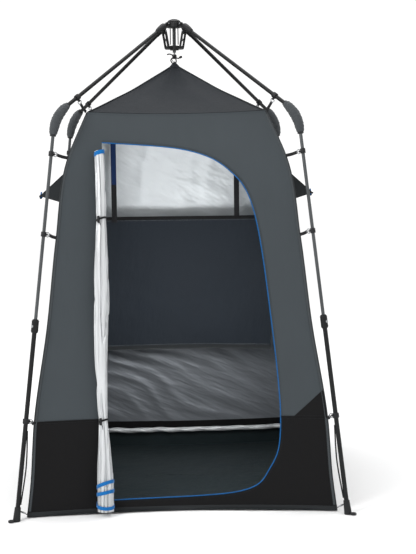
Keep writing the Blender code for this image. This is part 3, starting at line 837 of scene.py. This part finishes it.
AZIMUTH = {"fl": -90, "fr": 0, "rr": 90, "rl": 180}
for corner, azimuth in AZIMUTH.items():
    turn = Matrix.Rotation(math.radians(azimuth), 4, "Z")
    # The underside is the silver lining painted darker as shade.
    quarter = grid("quarter", lambda u, v: roof_point(1 - 2 * u, 0.02 + 0.98 * v), 40, 30,
                   ROOF, SHADED)
    quarter = bake(thicken(quarter, inner_slots=1))
    quarter.name = f"cloth_roof_{corner}"
    quarter.data.transform(turn)
    declare_sheet(quarter, 0.60, 0.62)
    hip = [roof_point(0, 0.05 + 0.93 * k / 24, 0.0016) for k in range(25)]
    parts = [sweep("hip", hip, flat_section(0.009, 0.0012), ROOF, up=(0, 0, 1))]
    for b in (-0.03, 0.03):
        row = [roof_point(b, 0.08 + 0.90 * k / 30, 0.0018) for k in range(31)]
        parts.append(along_curve("hip_stitches", row, DARK_STITCHES))
    edge = [roof_point(-0.998 + 1.996 * k / 60, 0.985, 0.0012) for k in range(61)]
    parts.append(sweep("eave_edge", edge, flat_section(0.009, 0.0010), ROOF, up=(0, 0, 1)))
    trim = join(f"roof_seams_{corner}", parts)
    trim.data.transform(turn)
    sx, sy = CORNERS[corner]
    for piece in (quarter, trim):
        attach(piece, f"pole_{corner}")
        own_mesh(piece)
    replace_node(quarter, f"roof_{corner}")

# %% [markdown]
# ## Floor
# The floor sheet lies loose on the ground, so it has broad, low folds. It never reaches below
# the ground or above the height of its own hem.

# %% Floor quarters
for corner, azimuth in AZIMUTH.items():
    middle, far = smooth(MIDDLE_LINE, 0) - 0.0022, smooth(CORNER_LINE, 0) - 0.005

    def floor_point(u, v):
        x = (middle + (far - middle) * v) * u
        y = (middle + (far - middle) * u) * v
        low = 0.0022 + 0.0035 * max(0, noise.noise(Vector((u * 3.0 + azimuth, v * 2.0, 1.5))))
        rim = 0.007 * max(u, v) ** 24
        return Vector((x, -y, low + rim))

    quarter = grid("floor_quarter", floor_point, 36, 36, FLOOR)
    quarter = bake(thicken(quarter, 0.0010))
    quarter.name = f"cloth_floor_{corner}"
    quarter.data.transform(Matrix.Rotation(math.radians(azimuth), 4, "Z"))
    declare_sheet(quarter, 0.70, 0.70)
    replace_node(quarter, f"floor_{corner}")
    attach(quarter, f"floor_{corner}")
    sx, sy = CORNERS[corner]
    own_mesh(quarter)
print("floor laid in four quarters")

# %% [markdown]
# ## Inside: hanging panel, straps and the rear roll
# A dark panel hangs on two straps in front of the rear wall and screens a dry corner. It is one
# soft cloth in two halves, slack enough to show upright folds. A silver cloth is rolled up
# along the foot of the rear wall, twisted like a towel.

# %% Panel halves with hems
PANEL_Y, PANEL_HALF, PANEL_LOW_Z, PANEL_HIGH_Z = 0.39, 0.50, 0.59, 1.30
STRAP_X = 0.324


def panel_point(x, z, out=0.0):
    slack = (PANEL_HIGH_Z - z) / (PANEL_HIGH_Z - PANEL_LOW_Z)
    folds = 0.0035 * slack * math.sin(14 * x) + 0.006 * noise.noise(Vector((x * 4, z * 5, 2.0)))
    folds += 0.0028 * noise.noise(Vector((x * 5 + z * 9, z * 3 - x * 2, 6.0)))
    dip = 0.010 * (abs(x) / PANEL_HALF) ** 2 * slack
    return Vector((x, PANEL_Y + folds - out, z - dip))


for corner, sign in (("rl", -1), ("rr", 1)):
    def half_panel(u, v):
        x = sign * PANEL_HALF * (u if sign > 0 else 1 - u)
        return panel_point(x, PANEL_LOW_Z + (PANEL_HIGH_Z - PANEL_LOW_Z) * v)

    panel = bake(thicken(grid("panel", half_panel, 60, 90, NAVY)))
    panel.name = f"cloth_panel_{corner}"
    declare_sheet(panel, 0.50, 0.72)
    replace_node(panel, f"hanging_panel_{corner}")
    xs = [sign * (PANEL_HALF - 0.003) * k / 40 for k in range(41)]
    parts = []
    for z, width, material in ((PANEL_LOW_Z + 0.011, 0.022, BINDING),
                               (PANEL_HIGH_Z - 0.009, 0.018, MUD)):
        line = [panel_point(x, z, 0.0016) for x in xs]
        parts.append(sweep("panel_hem", line, flat_section(0.0012, width), material))
    for z in (PANEL_LOW_Z + 0.003, PANEL_LOW_Z + 0.026, PANEL_HIGH_Z - 0.021):
        parts.append(along_curve("panel_stitches", [panel_point(x, z, 0.0026) for x in xs],
                                 STITCHES))
    gather(panel, corner)
    gather(join(f"panel_hems_{corner}", parts), corner)

    x, top = sign * STRAP_X, WALL_TOP_Z - 0.006
    strip = [Vector((x, PANEL_Y - 0.001, z)) for z in np.linspace(PANEL_HIGH_Z - 0.03, top, 12)]
    band = sweep("strap", strip, flat_section(0.028, 0.0016), STRAP, up=(0, -1, 0))
    parts = [band]
    if sign < 0:
        upper = [p + Vector((0, -0.0012, 0)) for p in strip if p.z > 1.42]
        parts.append(sweep("strap_navy", upper, flat_section(0.0278, 0.0009), NAVY_STRAP,
                           up=(0, -1, 0)))
    for dx in (-0.011, 0.011):
        line = [Vector((x + dx, PANEL_Y - 0.0026, z)) for z in (PANEL_HIGH_Z - 0.028, top)]
        parts.append(along_curve("strap_stitches", line, DARK_STITCHES))
    strap = join(f"panel_strap_webbing_{corner}", parts)
    replace_node(strap, f"panel_strap_{corner}")
    gather(strap, corner)

    def roll_section(t):
        turns = 16 * math.pi * t * 0.63
        return [(0.0128 * (1 + 0.10 * math.sin(3 * a + turns)) * math.cos(a),
                 0.0128 * (1 + 0.10 * math.sin(3 * a + turns)) * math.sin(a))
                for a in (2 * math.pi * k / 20 for k in range(20))]

    line = []
    for across in np.linspace(0.0, 0.93, 60):
        spot = wall_point(across, 0.10)
        wobble = 0.0030 * noise.noise(Vector((across * 9, sign * across, 4.0)))
        line.append(Vector((sign * spot.x, -spot.y - 0.0215 + wobble, 0.10 + wobble)))
    roll = sweep(f"rear_cloth_roll_{corner}", line, roll_section, ROLL)
    replace_node(roll, f"rear_roll_{corner}")
    gather(roll, corner)
print("panel, straps and rear roll in place")

# %% [markdown]
# ## The rolled door
# The door is unzipped, rolled towards the hinge side and held by two toggle ties. A roll of
# cloth shows long creases and the free edge of the last turn, so its section is a spiral that
# wanders a little from one height to the next. Ties pinch it.

# %% Door roll
ROLL_TOP_Z, ROLL_FOOT_Z = 1.648, 0.024
ROLL_GIRTH = [  # height, radius: thin where the ties hold it
    (0.02, 0.0360), (0.20, 0.0330), (0.43, 0.0215), (0.60, 0.0250), (0.90, 0.0295),
    (1.10, 0.0300), (1.34, 0.0230), (1.50, 0.0215), (1.66, 0.0200),
]
TIE_HEIGHTS = (1.34, 0.43)


def roll_radius(z):
    pinch = sum(0.10 * math.exp(-((z - tie) / 0.030) ** 2) for tie in TIE_HEIGHTS)
    return smooth(ROLL_GIRTH, z) * (1 - pinch)


def roll_centre(z):
    spot = wall_at(DOOR_LEFT_X, z)
    sway = 0.004 * math.sin(5.2 * z + 0.6) + 0.006 * noise.noise(Vector((z * 2.6, 3.0, 1.0)))
    return Vector((DOOR_LEFT_X - 0.010 + sway, spot.y - roll_radius(z) - 0.010, z))


def roll_surface(z, a):
    """How far the roll's surface is from its centre, at a height and an angle round it."""
    crease = noise.noise(Vector((math.cos(a) * 1.6, math.sin(a) * 1.6, z * 2.6)))
    fine = noise.noise(Vector((math.cos(a) * 4.5, math.sin(a) * 4.5, z * 9.0)))
    turn_edge = 0.14 * ((a / math.tau + 0.45 + 0.16 * math.sin(z * 3.1)) % 1.0)
    slit = noise.noise(Vector((math.cos(a) * 1.1 + 4, math.sin(a) * 1.1, z * 2.0)))
    valley = math.exp(-((slit / 0.075) ** 2))
    return roll_radius(z) * (0.97 + turn_edge + 0.18 * crease + 0.08 * fine - 0.30 * valley)


def roll_ring(t):
    z = ROLL_TOP_Z + (ROLL_FOOT_Z - ROLL_TOP_Z) * t
    angles = [math.tau * k / 72 for k in range(72)]
    return [(roll_surface(z, a) * math.cos(a), roll_surface(z, a) * math.sin(a)) for a in angles]


heights = np.linspace(ROLL_TOP_Z, ROLL_FOOT_Z, 240)
door = sweep("rolled_door", [roll_centre(z) for z in heights], roll_ring, ROLL, up=(0, -1, 0))
replace_node(door, "door_roll")
gather(door, "fl")


def roll_band(z, tilt, width, material, name):
    """A strap or tape that goes once round the roll, tilted a little, taut over its creases."""
    centre, ring = roll_centre(z), []
    for k in range(48):
        a = math.tau * k / 48
        rise = tilt * math.cos(a + 0.8 + math.pi)
        reach = max(roll_surface(z + rise, a + d) for d in (-0.5, -0.25, 0, 0.25, 0.5)) + 0.0014
        ring.append(centre + Vector((-reach * math.cos(a), -reach * math.sin(a), rise)))
    return sweep(name, ring, flat_section(0.0014, width), material, cyclic=True)


ties = []
for z in TIE_HEIGHTS:
    ties.append(roll_band(z, 0.010, 0.009, STRAP, "tie"))
    knob = roll_centre(z) + Vector((-0.012, -roll_radius(z) * 1.14 - 0.004, 0.002))
    ties.append(sweep("toggle", [knob + Vector((0, 0, 0.016)), knob + Vector((0, 0, 0.010)),
                                 knob - Vector((0, 0, 0.010)), knob - Vector((0, 0, 0.016))],
                      lambda t: round_section(0.0045 if t in (0, 1) else 0.0062, 12), PLASTIC,
                      up=(0, 1, 0)))
    tail = spline([knob, knob + Vector((0.010, -0.002, -0.03)), knob + Vector((0.004, 0, -0.058))])
    ties.append(sweep("tail", tail, round_section(0.0013, 6), STRAP, up=(1, 0, 0)))
gather(join("door_ties", ties), "fl")

tapes = [roll_band(z, tilt, 0.016, BLUE, "zip_wrap")
         for z, tilt in ((0.145, 0.020), (0.108, 0.012), (0.050, -0.006))]
tapes.append(roll_band(1.638, 0.010, 0.018, BLUE, "zip_end"))
slider_at = wall_at(DOOR_LEFT_X + 0.012, 0.075, 0.006)
tapes.append(sweep("zip_slider", [slider_at + Vector((0, 0, 0.014)), slider_at,
                                  slider_at - Vector((0, 0, 0.012))],
                   lambda t: flat_section(0.011 - 0.003 * t, 0.006), PLASTIC, up=(0, -1, 0)))
puller = spline([slider_at, slider_at + Vector((0.004, -0.006, -0.014)),
                 slider_at + Vector((0.006, -0.004, -0.036))])
tapes.append(sweep("zip_puller", puller, flat_section(0.005, 0.002), PLASTIC, up=(0, -1, 0)))
gather(join("door_zip_tapes", tapes), "fl")
print("door rolled and tied")

# %% [markdown]
# ## Side vent hoods
# A hood is a small awning: one sloping cloth with two triangular cheeks, stiff enough to stand
# out, with a rod sewn in its lip and a blue toggle at the tip of the guy loop.

# %% Hoods
HOOD_HALF, HOOD_TOP_Z, HOOD_TIP_Z, HOOD_LOW_Z, HOOD_OUT = 0.15, 1.61, 1.44, 1.385, 0.663


def hood_grid(u, v):
    """The hood's sheet in the right wall's space: u runs over cheek, front and cheek."""
    high = -wall_point(0, HOOD_TOP_Z).y + 0.006
    low = -wall_point(0, HOOD_LOW_Z).y + 0.009
    y = HOOD_HALF * max(-1, min(1, (u - 0.5) * 4))
    cheek = max(0.0, abs(u - 0.5) * 4 - 1)
    belly = 0.006 * math.sin(math.pi * v) * (1 - cheek)
    lip = Vector((HOOD_OUT, y, HOOD_TIP_Z - 0.006))
    root = Vector((high, y * (1 - 0.02 * cheek), HOOD_TOP_Z))
    front = root.lerp(lip, v) + Vector((belly, 0, -belly))
    wall_side = root.lerp(Vector((low, y, HOOD_LOW_Z)), v)
    return front.lerp(wall_side, cheek)


for side, corner in (("right", "fr"), ("left", "fl")):
    turn = Matrix.Rotation(0 if side == "right" else math.pi, 4, "Z")
    hood = bake(thicken(grid("hood", hood_grid, 48, 20, SLATE_SIDE), 0.0016))
    lip = [hood_grid(0.25 + 0.5 * k / 24, 1.0) for k in range(25)]
    parts = [hood, sweep("lip", lip, round_section(0.0045, 8), BINDING)]
    for edge in (0.25, 0.75):
        ridge = [hood_grid(edge, k / 16) + Vector((0.001, 0, 0.001)) for k in range(17)]
        parts.append(sweep("ridge", ridge, flat_section(0.007, 0.0014), BINDING, up=(1, 0, 1)))
    sewn = [hood_grid(0.25 + 0.5 * k / 24, 0.0) + Vector((0.001, 0, 0.002)) for k in range(25)]
    parts.append(sweep("sewn_edge", sewn, flat_section(0.003, 0.012), BINDING))
    tip = Vector((HOOD_OUT, 0, HOOD_TIP_Z - 0.006))
    loop = spline([tip + Vector((0.002, 0, 0.002)), tip + Vector((0.012, 0.004, -0.004)),
                   tip + Vector((0.010, 0.0, -0.016)), tip + Vector((0.002, -0.004, -0.006))])
    parts.append(sweep("guy_loop", loop, flat_section(0.008, 0.0012), STRAP, up=(0, 1, 0)))
    parts.append(sweep("blue_toggle", [tip + Vector((0.006, 0, 0.016)), tip + Vector((0.009, 0, 0)),
                                       tip + Vector((0.009, 0, -0.014))],
                       round_section(0.0036, 10), BLUE_COIL, up=(0, 1, 0)))
    hood = join(f"vent_hood_cloth_{side}", parts)
    hood.data.transform(turn)
    declare_sheet(hood, 0.70, 0.42)
    replace_node(hood, f"vent_hood_{side}")
    gather(hood, corner)
print("two hoods")

# %% [markdown]
# ## Elbow sleeves
# Each elbow is wrapped in a padded sleeve that stops the joint from pinching the cloth. It is
# a swollen tube with quilting grooves and a gathered binding at both ends, shaped round the
# bend of the standing frame.

# %% Sleeves
ELBOW_Z = 1.81
SLEEVE_REACH = 0.086  # from the bend to each end of a sleeve
frame_mounts = {m["name"]: m["pos_m"] for m in frame["record"]["mounts"]}


def leg_line(corner):
    """The elbow's bend, the leg's direction and the pole's direction, for one corner."""
    foot = Vector(frame_mounts[f"foot_sole_{corner}"])
    crown = Vector(JOINTS["fold" if corner == "fl" else f"pole_{corner}"]["pos_m"])
    up_leg = Vector(JOINTS[f"leg_height_{corner}"]["axis"]).normalized()
    bend = foot + up_leg * (ELBOW_Z / up_leg.z)
    return crown, bend, -up_leg, (bend - crown).normalized()


for corner in CORNERS:
    _, bend, leg_way, pole_way = leg_line(corner)
    ends = (bend - pole_way * SLEEVE_REACH, bend + leg_way * SLEEVE_REACH)
    line = [ends[0].lerp(bend, t).lerp(bend.lerp(ends[1], t), t) for t in np.linspace(0, 1, 90)]
    sideways = pole_way.cross(leg_way).normalized()

    def puffed(t):
        swell = 0.0130 + 0.0100 * math.sin(math.pi * min(1, max(0, t))) ** 0.35
        rib = 1 - 0.035 * math.exp(-((t * 5) % 1 - 0.5) ** 2 / 0.006)
        ring = []
        for k in range(28):
            a = 2 * math.pi * k / 28
            bump = 1 + 0.06 * noise.noise(Vector((math.cos(a) * 2, math.sin(a) * 2, t * 6)))
            bump += 0.10 * noise.noise(Vector((math.cos(a) * 4, math.sin(a) * 4, t * 26)))
            ring.append((swell * rib * bump * math.cos(a), swell * rib * bump * math.sin(a)))
        return ring

    body = sweep("sleeve", line, puffed, SLEEVE, up=sideways)
    cuffs = [sweep("cuff", [end - way * 0.006, end + way * 0.007], round_section(0.0142, 20),
                   BINDING, up=sideways)
             for end, way in ((ends[0], pole_way), (ends[1], leg_way))]
    sleeve = join(f"padded_sleeve_{corner}", [body, *cuffs])
    replace_node(sleeve, f"elbow_sleeve_{corner}")
    pivot = Vector(JOINTS[f"elbow_{corner}"]["pos_m"])
    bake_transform(sleeve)
print("four padded sleeves")

# %% [markdown]
# ## Clips and webbing
# The cloth hangs from the frame on plastic clips: a split collar on the tube, a D-ring, and a
# short webbing sewn to the corner seam. Three sit on each leg and one on each roof pole.

# %% Clips
CLIP_HEIGHTS = (1.62, 1.26, 0.425)
UPPER_TUBE_R, LOWER_TUBE_R, POLE_R = 0.0078, 0.0105, 0.0092
CLIP_WEBBING = 0.015  # width


def clip(at, way, target, tube_radius):
    """A collar round a tube at a point, a D-ring, and webbing to a point of the cloth."""
    towards = (target - at).normalized()
    side = way.cross(towards).normalized()
    towards = side.cross(way).normalized()
    collar = sweep("collar", [at - way * 0.011, at - way * 0.009, at + way * 0.009,
                              at + way * 0.011],
                   lambda t: round_section(tube_radius + (0.0035 if t in (0, 1) else 0.0046), 16),
                   PLASTIC, up=towards)
    nose = at + towards * (tube_radius + 0.006)
    hook = sweep("hook", [nose - towards * 0.004, nose + towards * 0.007],
                 flat_section(0.012, 0.006), PLASTIC, up=way)
    ring_at = nose + towards * 0.010
    bow = [ring_at + way * (0.0105 * math.cos(a)) + towards * (0.009 * math.sin(a))
           for a in np.linspace(0, math.pi, 9)] + [ring_at - way * 0.0105 - towards * 0.004,
                                                   ring_at + way * 0.0105 - towards * 0.004]
    ring = sweep("d_ring", bow, round_section(0.0021, 8), GREY_PLASTIC, cyclic=True, up=side)
    start = ring_at + towards * 0.006
    middle = start.lerp(target, 0.5) + Vector((0, 0, -0.002))
    band = sweep("webbing", spline([start, middle, target], steps=5),
                 flat_section(CLIP_WEBBING, 0.0016), STRAP,
                 up=way.cross((target - start).normalized()).normalized())
    return [collar, hook, ring, band]


def leg_at(corner, z):
    _, bend, leg_way, _ = leg_line(corner)
    return bend + leg_way * ((bend.z - z) / -leg_way.z)


for corner, (sx, sy) in CORNERS.items():
    crown, bend, leg_way, pole_way = leg_line(corner)
    for z in CLIP_HEIGHTS:
        half = smooth(CORNER_LINE, z) + 0.001
        on_lower = z < 0.8
        parts = clip(leg_at(corner, z + 0.02), leg_way, Vector((sx * half, sy * half, z)),
                     LOWER_TUBE_R if on_lower else UPPER_TUBE_R)
        body = "lower_leg" if on_lower else "upper_leg"
        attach(join(f"leg_clip_{corner}_{round(z * 1000)}", parts), f"{body}_{corner}")
    on_pole = crown + pole_way * ((0.453 * math.sqrt(2) - crown.xy.length) / pole_way.xy.length)
    eave = smooth(CORNER_LINE, WALL_TOP_Z) + 0.002
    parts = clip(on_pole, pole_way, Vector((sx * eave, sy * eave, WALL_TOP_Z + 0.004)), POLE_R)
    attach(join(f"roof_clip_{corner}", parts), f"pole_{corner}")

    half = smooth(CORNER_LINE, 0.02) + 0.001
    foot = leg_at(corner, 0.045) - Vector((sx, sy, 0)).normalized() * 0.012
    start = Vector((sx * half, sy * half, 0.016))
    band = sweep("hem_webbing", spline([start, start.lerp(foot, 0.5), foot], steps=4),
                 flat_section(0.020, 0.0018), STRAP, up=(0, 0, 1))
    middle = start.lerp(foot, 0.55)
    across = (foot - start).normalized()
    buckle = sweep("ladder_buckle", [middle - across * 0.008, middle + across * 0.008],
                   flat_section(0.026, 0.006), GREY_PLASTIC, up=(0, 0, 1))
    strap_top = leg_at(corner, 0.400) - Vector((sx, sy, 0)).normalized() * 0.014
    strap_low = leg_at(corner, 0.070) - Vector((sx, sy, 0)).normalized() * 0.015
    slack = strap_top.lerp(strap_low, 0.5) - Vector((sx, sy, 0)).normalized() * 0.012
    thin = sweep("guy_strap", spline([strap_top, slack, strap_low], steps=8),
                 flat_section(0.008, 0.0014), STRAP, up=(sy, -sx, 0))
    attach(join(f"foot_webbing_{corner}", [band, buckle, thin]), f"lower_leg_{corner}")
print("clips on four legs and four poles")

# %% [markdown]
# ## Small parts on the frame
# The hinges are pinned with rivets whose domed heads show on both sides. Two ribs run round
# each leg's collar, a boot covers each pole where it enters the hub, and a black gusset
# strengthens one corner of the front wall.

# %% Rivets, collar ribs, hub boots and gusset
def dome(at, way, radius, height):
    way = way.normalized()
    steps = [(1.0, 0.0), (0.98, 0.35), (0.80, 0.72), (0.45, 0.94), (0.12, 1.0)]
    ring_path = [at + way * (height * h) for _, h in steps]
    radii = [radius * r for r, _ in steps]
    return sweep("dome", ring_path, lambda t: round_section(radii[round(t * 4)], 14), STEEL,
                 up=way.orthogonal())


for corner, (sx, sy) in CORNERS.items():
    sideways = Vector((sy, -sx, 0)).normalized()
    for joint, body, reach, radius in (
            ("fold" if corner == "fl" else f"pole_{corner}", "crown", 0.0088, 0.0046),
            (f"strut_{corner}", f"pole_{corner}", 0.0125, 0.0044)):
        pivot = Vector(JOINTS[joint]["pos_m"])
        heads = [dome(pivot + sideways * s * reach, sideways * s, radius, 0.0018) for s in (-1, 1)]
        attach(join(f"rivets_{body}_{joint}", heads), body)
    on_leg = leg_at(corner, 0.868)
    leg_way = leg_line(corner)[2]
    outwards = Vector((sx, sy, 0)).normalized()
    outwards = (outwards - leg_way * outwards.dot(leg_way)).normalized()
    ribs = [sweep("collar_rib", [on_leg + leg_way * d - leg_way * 0.0012,
                                 on_leg + leg_way * d + leg_way * 0.0012],
                  round_section(0.0174, 24), PLASTIC, up=outwards) for d in (-0.024, 0.018)]
    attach(join(f"collar_ribs_{corner}", ribs), f"lower_leg_{corner}")

for corner in CORNERS:
    crown, _, _, pole_way = leg_line(corner)
    sideways = Vector((-pole_way.y, pole_way.x, 0)).normalized()
    lift = sideways.cross(pole_way).normalized()
    lift = lift if lift.z > 0 else -lift
    reach = [0.024, 0.030, 0.045, 0.066, 0.080, 0.084]
    girth = [0.0118, 0.0150, 0.0158, 0.0140, 0.0116, 0.0104]
    line = [crown + pole_way * r + lift * 0.0025 for r in reach]
    boot = sweep("pole_boot", line, lambda t: round_section(girth[round(t * 5)], 20), PLASTIC,
                 up=sideways)
    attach(join(f"hub_boot_{corner}", [boot]), f"pole_{corner}")

GUSSET_LOW_Z, GUSSET_HIGH_Z, GUSSET_WIDTH = 0.432, 0.556, 0.150


def gusset_point(u, v):
    """A triangle that narrows upwards along the front wall's right corner."""
    z = GUSSET_LOW_Z + (GUSSET_HIGH_Z - GUSSET_LOW_Z) * v
    x = smooth(CORNER_LINE, z) - SEAM - GUSSET_WIDTH * (1 - v) * (1 - u) - 0.001 * u
    return wall_at(x, z, pull(0.9, z, SEEDS["front"]) + 0.0020)


gusset = bake(thicken(grid("gusset", gusset_point, 14, 16, MUD), 0.0010))
gusset.name = "corner_gusset"
gather(gusset, "fr")
print("rivets, ribs and gusset made")

# %% [markdown]
# ## Peak cord
# The roof's peak hangs from the hub on a short cord tied in a bow. The loop keeps the frame's
# own shape; the knot and its four loose ends are made as tubes beside it.

# %% Knot and loose ends
knot_at = Vector((0.0, 0.0, 2.106))
knot = [knot_at + Vector((0.0075 * math.sin(2 * t), 0.0065 * math.cos(3 * t),
                          0.0070 * math.sin(3 * t)))
        for t in np.linspace(0, 2 * math.pi, 60)[:-1]]
ends = [
    [(-0.002, -0.006, 2.108), (-0.014, -0.012, 2.116), (-0.026, -0.012, 2.119),
     (-0.036, -0.008, 2.117)],
    [(0.002, -0.006, 2.106), (0.012, -0.014, 2.099), (0.020, -0.014, 2.098),
     (0.027, -0.012, 2.102)],
    [(-0.003, -0.004, 2.104), (-0.012, -0.006, 2.099), (-0.018, -0.005, 2.089),
     (-0.013, -0.003, 2.078), (-0.006, -0.002, 2.070)],
    [(0.003, -0.004, 2.103), (0.007, -0.006, 2.094), (0.008, -0.005, 2.083),
     (0.005, -0.002, 2.072)],
]
parts = [sweep("knot", knot, round_section(0.0038, 8), STRAP, cyclic=True, up=(0, 1, 0.01))]
parts += [sweep("cord_end", spline(end), round_section(0.0030, 8), STRAP, up=(0, 1, 0))
          for end in ends]
parts.append(sweep("cord_stop", [Vector(ends[1][-1]) + Vector((d, 0, d * 0.5))
                                 for d in (-0.003, 0.0, 0.007, 0.010)],
                   lambda t: round_section(0.0035 if t in (0, 1) else 0.0058, 10), STRAP,
                   up=(0, 1, 0)))
tab_heights = [2.052, 2.062, 2.070, 2.076, 2.081]
tab_girth = [0.030, 0.022, 0.0150, 0.0085, 0.0050]
parts.append(sweep("peak_patch", [Vector((0, 0, z)) for z in tab_heights],
                   lambda t: round_section(tab_girth[round(t * 4)], 24), ROOF, up=(0, 1, 0)))
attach(join("peak_cord_bow", parts), "crown")
guide_rods = [sweep("guide_rod", [Vector((x, y, 2.2445)), Vector((x, y, 2.1655))],
                    round_section(0.0026, 10), PLASTIC, up=(0.3, 1, 0))
              for x, y in ((-0.019, 0), (0.019, 0), (0, 0.019), (0, -0.019))]
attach(join("hub_guide_rods", guide_rods), "crown")

# %% [markdown]
# ## Finishes on the frame's own parts
# The tubes, hub, struts and feet keep their engineered shape and only need a finish.

# %% Dress the frame
FINISHES = {
    "crown_": PLASTIC, "lower_hub": PLASTIC, "strut_": PLASTIC, "foot_": PLASTIC,
    "lock_button_": GREY_PLASTIC, "centre_post": GREY_TUBE, "leg_upper_": GREY_TUBE,
    "leg_lower_": BLACK_TUBE, "roof_pole_": BLACK_TUBE, "peak_": STRAP,
}
dressed = 0
for name, node in frame["nodes"].items():
    for prefix, material in FINISHES.items():
        if name.startswith(prefix) and not node.hide_render:
            node.data.materials.clear()
            node.data.materials.append(material)
            dressed += 1
print(dressed, "frame parts dressed")

# %% [markdown]
# ## Studio
# A pale floor, a soft light on each side and one above, two small ones inside the tent, and a
# camera at about eye height that looks a little down at the doorway.

# %% Floor, lights and camera
def plain_material(name, colour, roughness):
    s = Shader(name)
    s.colour(s.tone(s.noise(1.2, 2.0), colour, 0.006))
    s.rough(s.noise(8.0), roughness, roughness + 0.03)
    return s.material


ground = grid("studio_floor", lambda u, v: Vector((60 * (u - 0.5), 60 * (v - 0.5), -0.0005)), 2, 2,
              plain_material("studio_white", (0.92, 0.92, 0.92), 0.8))


def area_light(name, place, aim, size, power):
    data = bpy.data.lights.new(name, "AREA")
    data.shape, data.size, data.energy = "DISK", size, power
    lamp = bpy.data.objects.new(name, data)
    lamp.location = place
    lamp.rotation_euler = (Vector(aim) - Vector(place)).to_track_quat("-Z", "Y").to_euler()
    lamp.visible_camera = False
    bpy.context.scene.collection.objects.link(lamp)


area_light("key_light", (-3.8, -4.2, 3.8), (0, 0, 1.1), 2.0, 165)
area_light("fill_light", (3.8, -3.6, 2.6), (0, 0, 1.0), 3.0, 10)
area_light("top_light", (0.2, 0.6, 5.2), (0, 0, 1.0), 3.0, 80)
area_light("inside_top_light", (-0.05, -0.24, 1.66), (0.06, 0.45, 1.42), 0.25, 2.1)
area_light("inside_low_light", (0.06, -0.48, 0.95), (0.05, 0.60, 0.36), 0.35, 8.5)
world = bpy.data.worlds.new("studio")
world.use_nodes = True
world.node_tree.nodes["Background"].inputs["Color"].default_value = (1, 1, 1, 1)
world.node_tree.nodes["Background"].inputs["Strength"].default_value = 1.1
bpy.context.scene.world = world
bpy.context.scene.view_settings.view_transform = "Standard"

CAMERA_PLACE, CAMERA_AIM = Vector((-0.086, -6.33, 1.66)), Vector((0.153, 0, 1.013))
CAMERA_ROLL = -0.0115
LENS_MM, SENSOR_MM = 82.4, 36
camera_data = bpy.data.cameras.new("camera")
camera_data.sensor_width = SENSOR_MM
camera_data.lens = LENS_MM
camera = bpy.data.objects.new("camera", camera_data)
looking = (CAMERA_AIM - CAMERA_PLACE).to_track_quat("-Z", "Y").to_matrix()
camera.rotation_euler = (looking @ Matrix.Rotation(CAMERA_ROLL, 3, "Z")).to_euler()
camera.location = CAMERA_PLACE
bpy.context.scene.collection.objects.link(camera)
bpy.context.scene.camera = camera
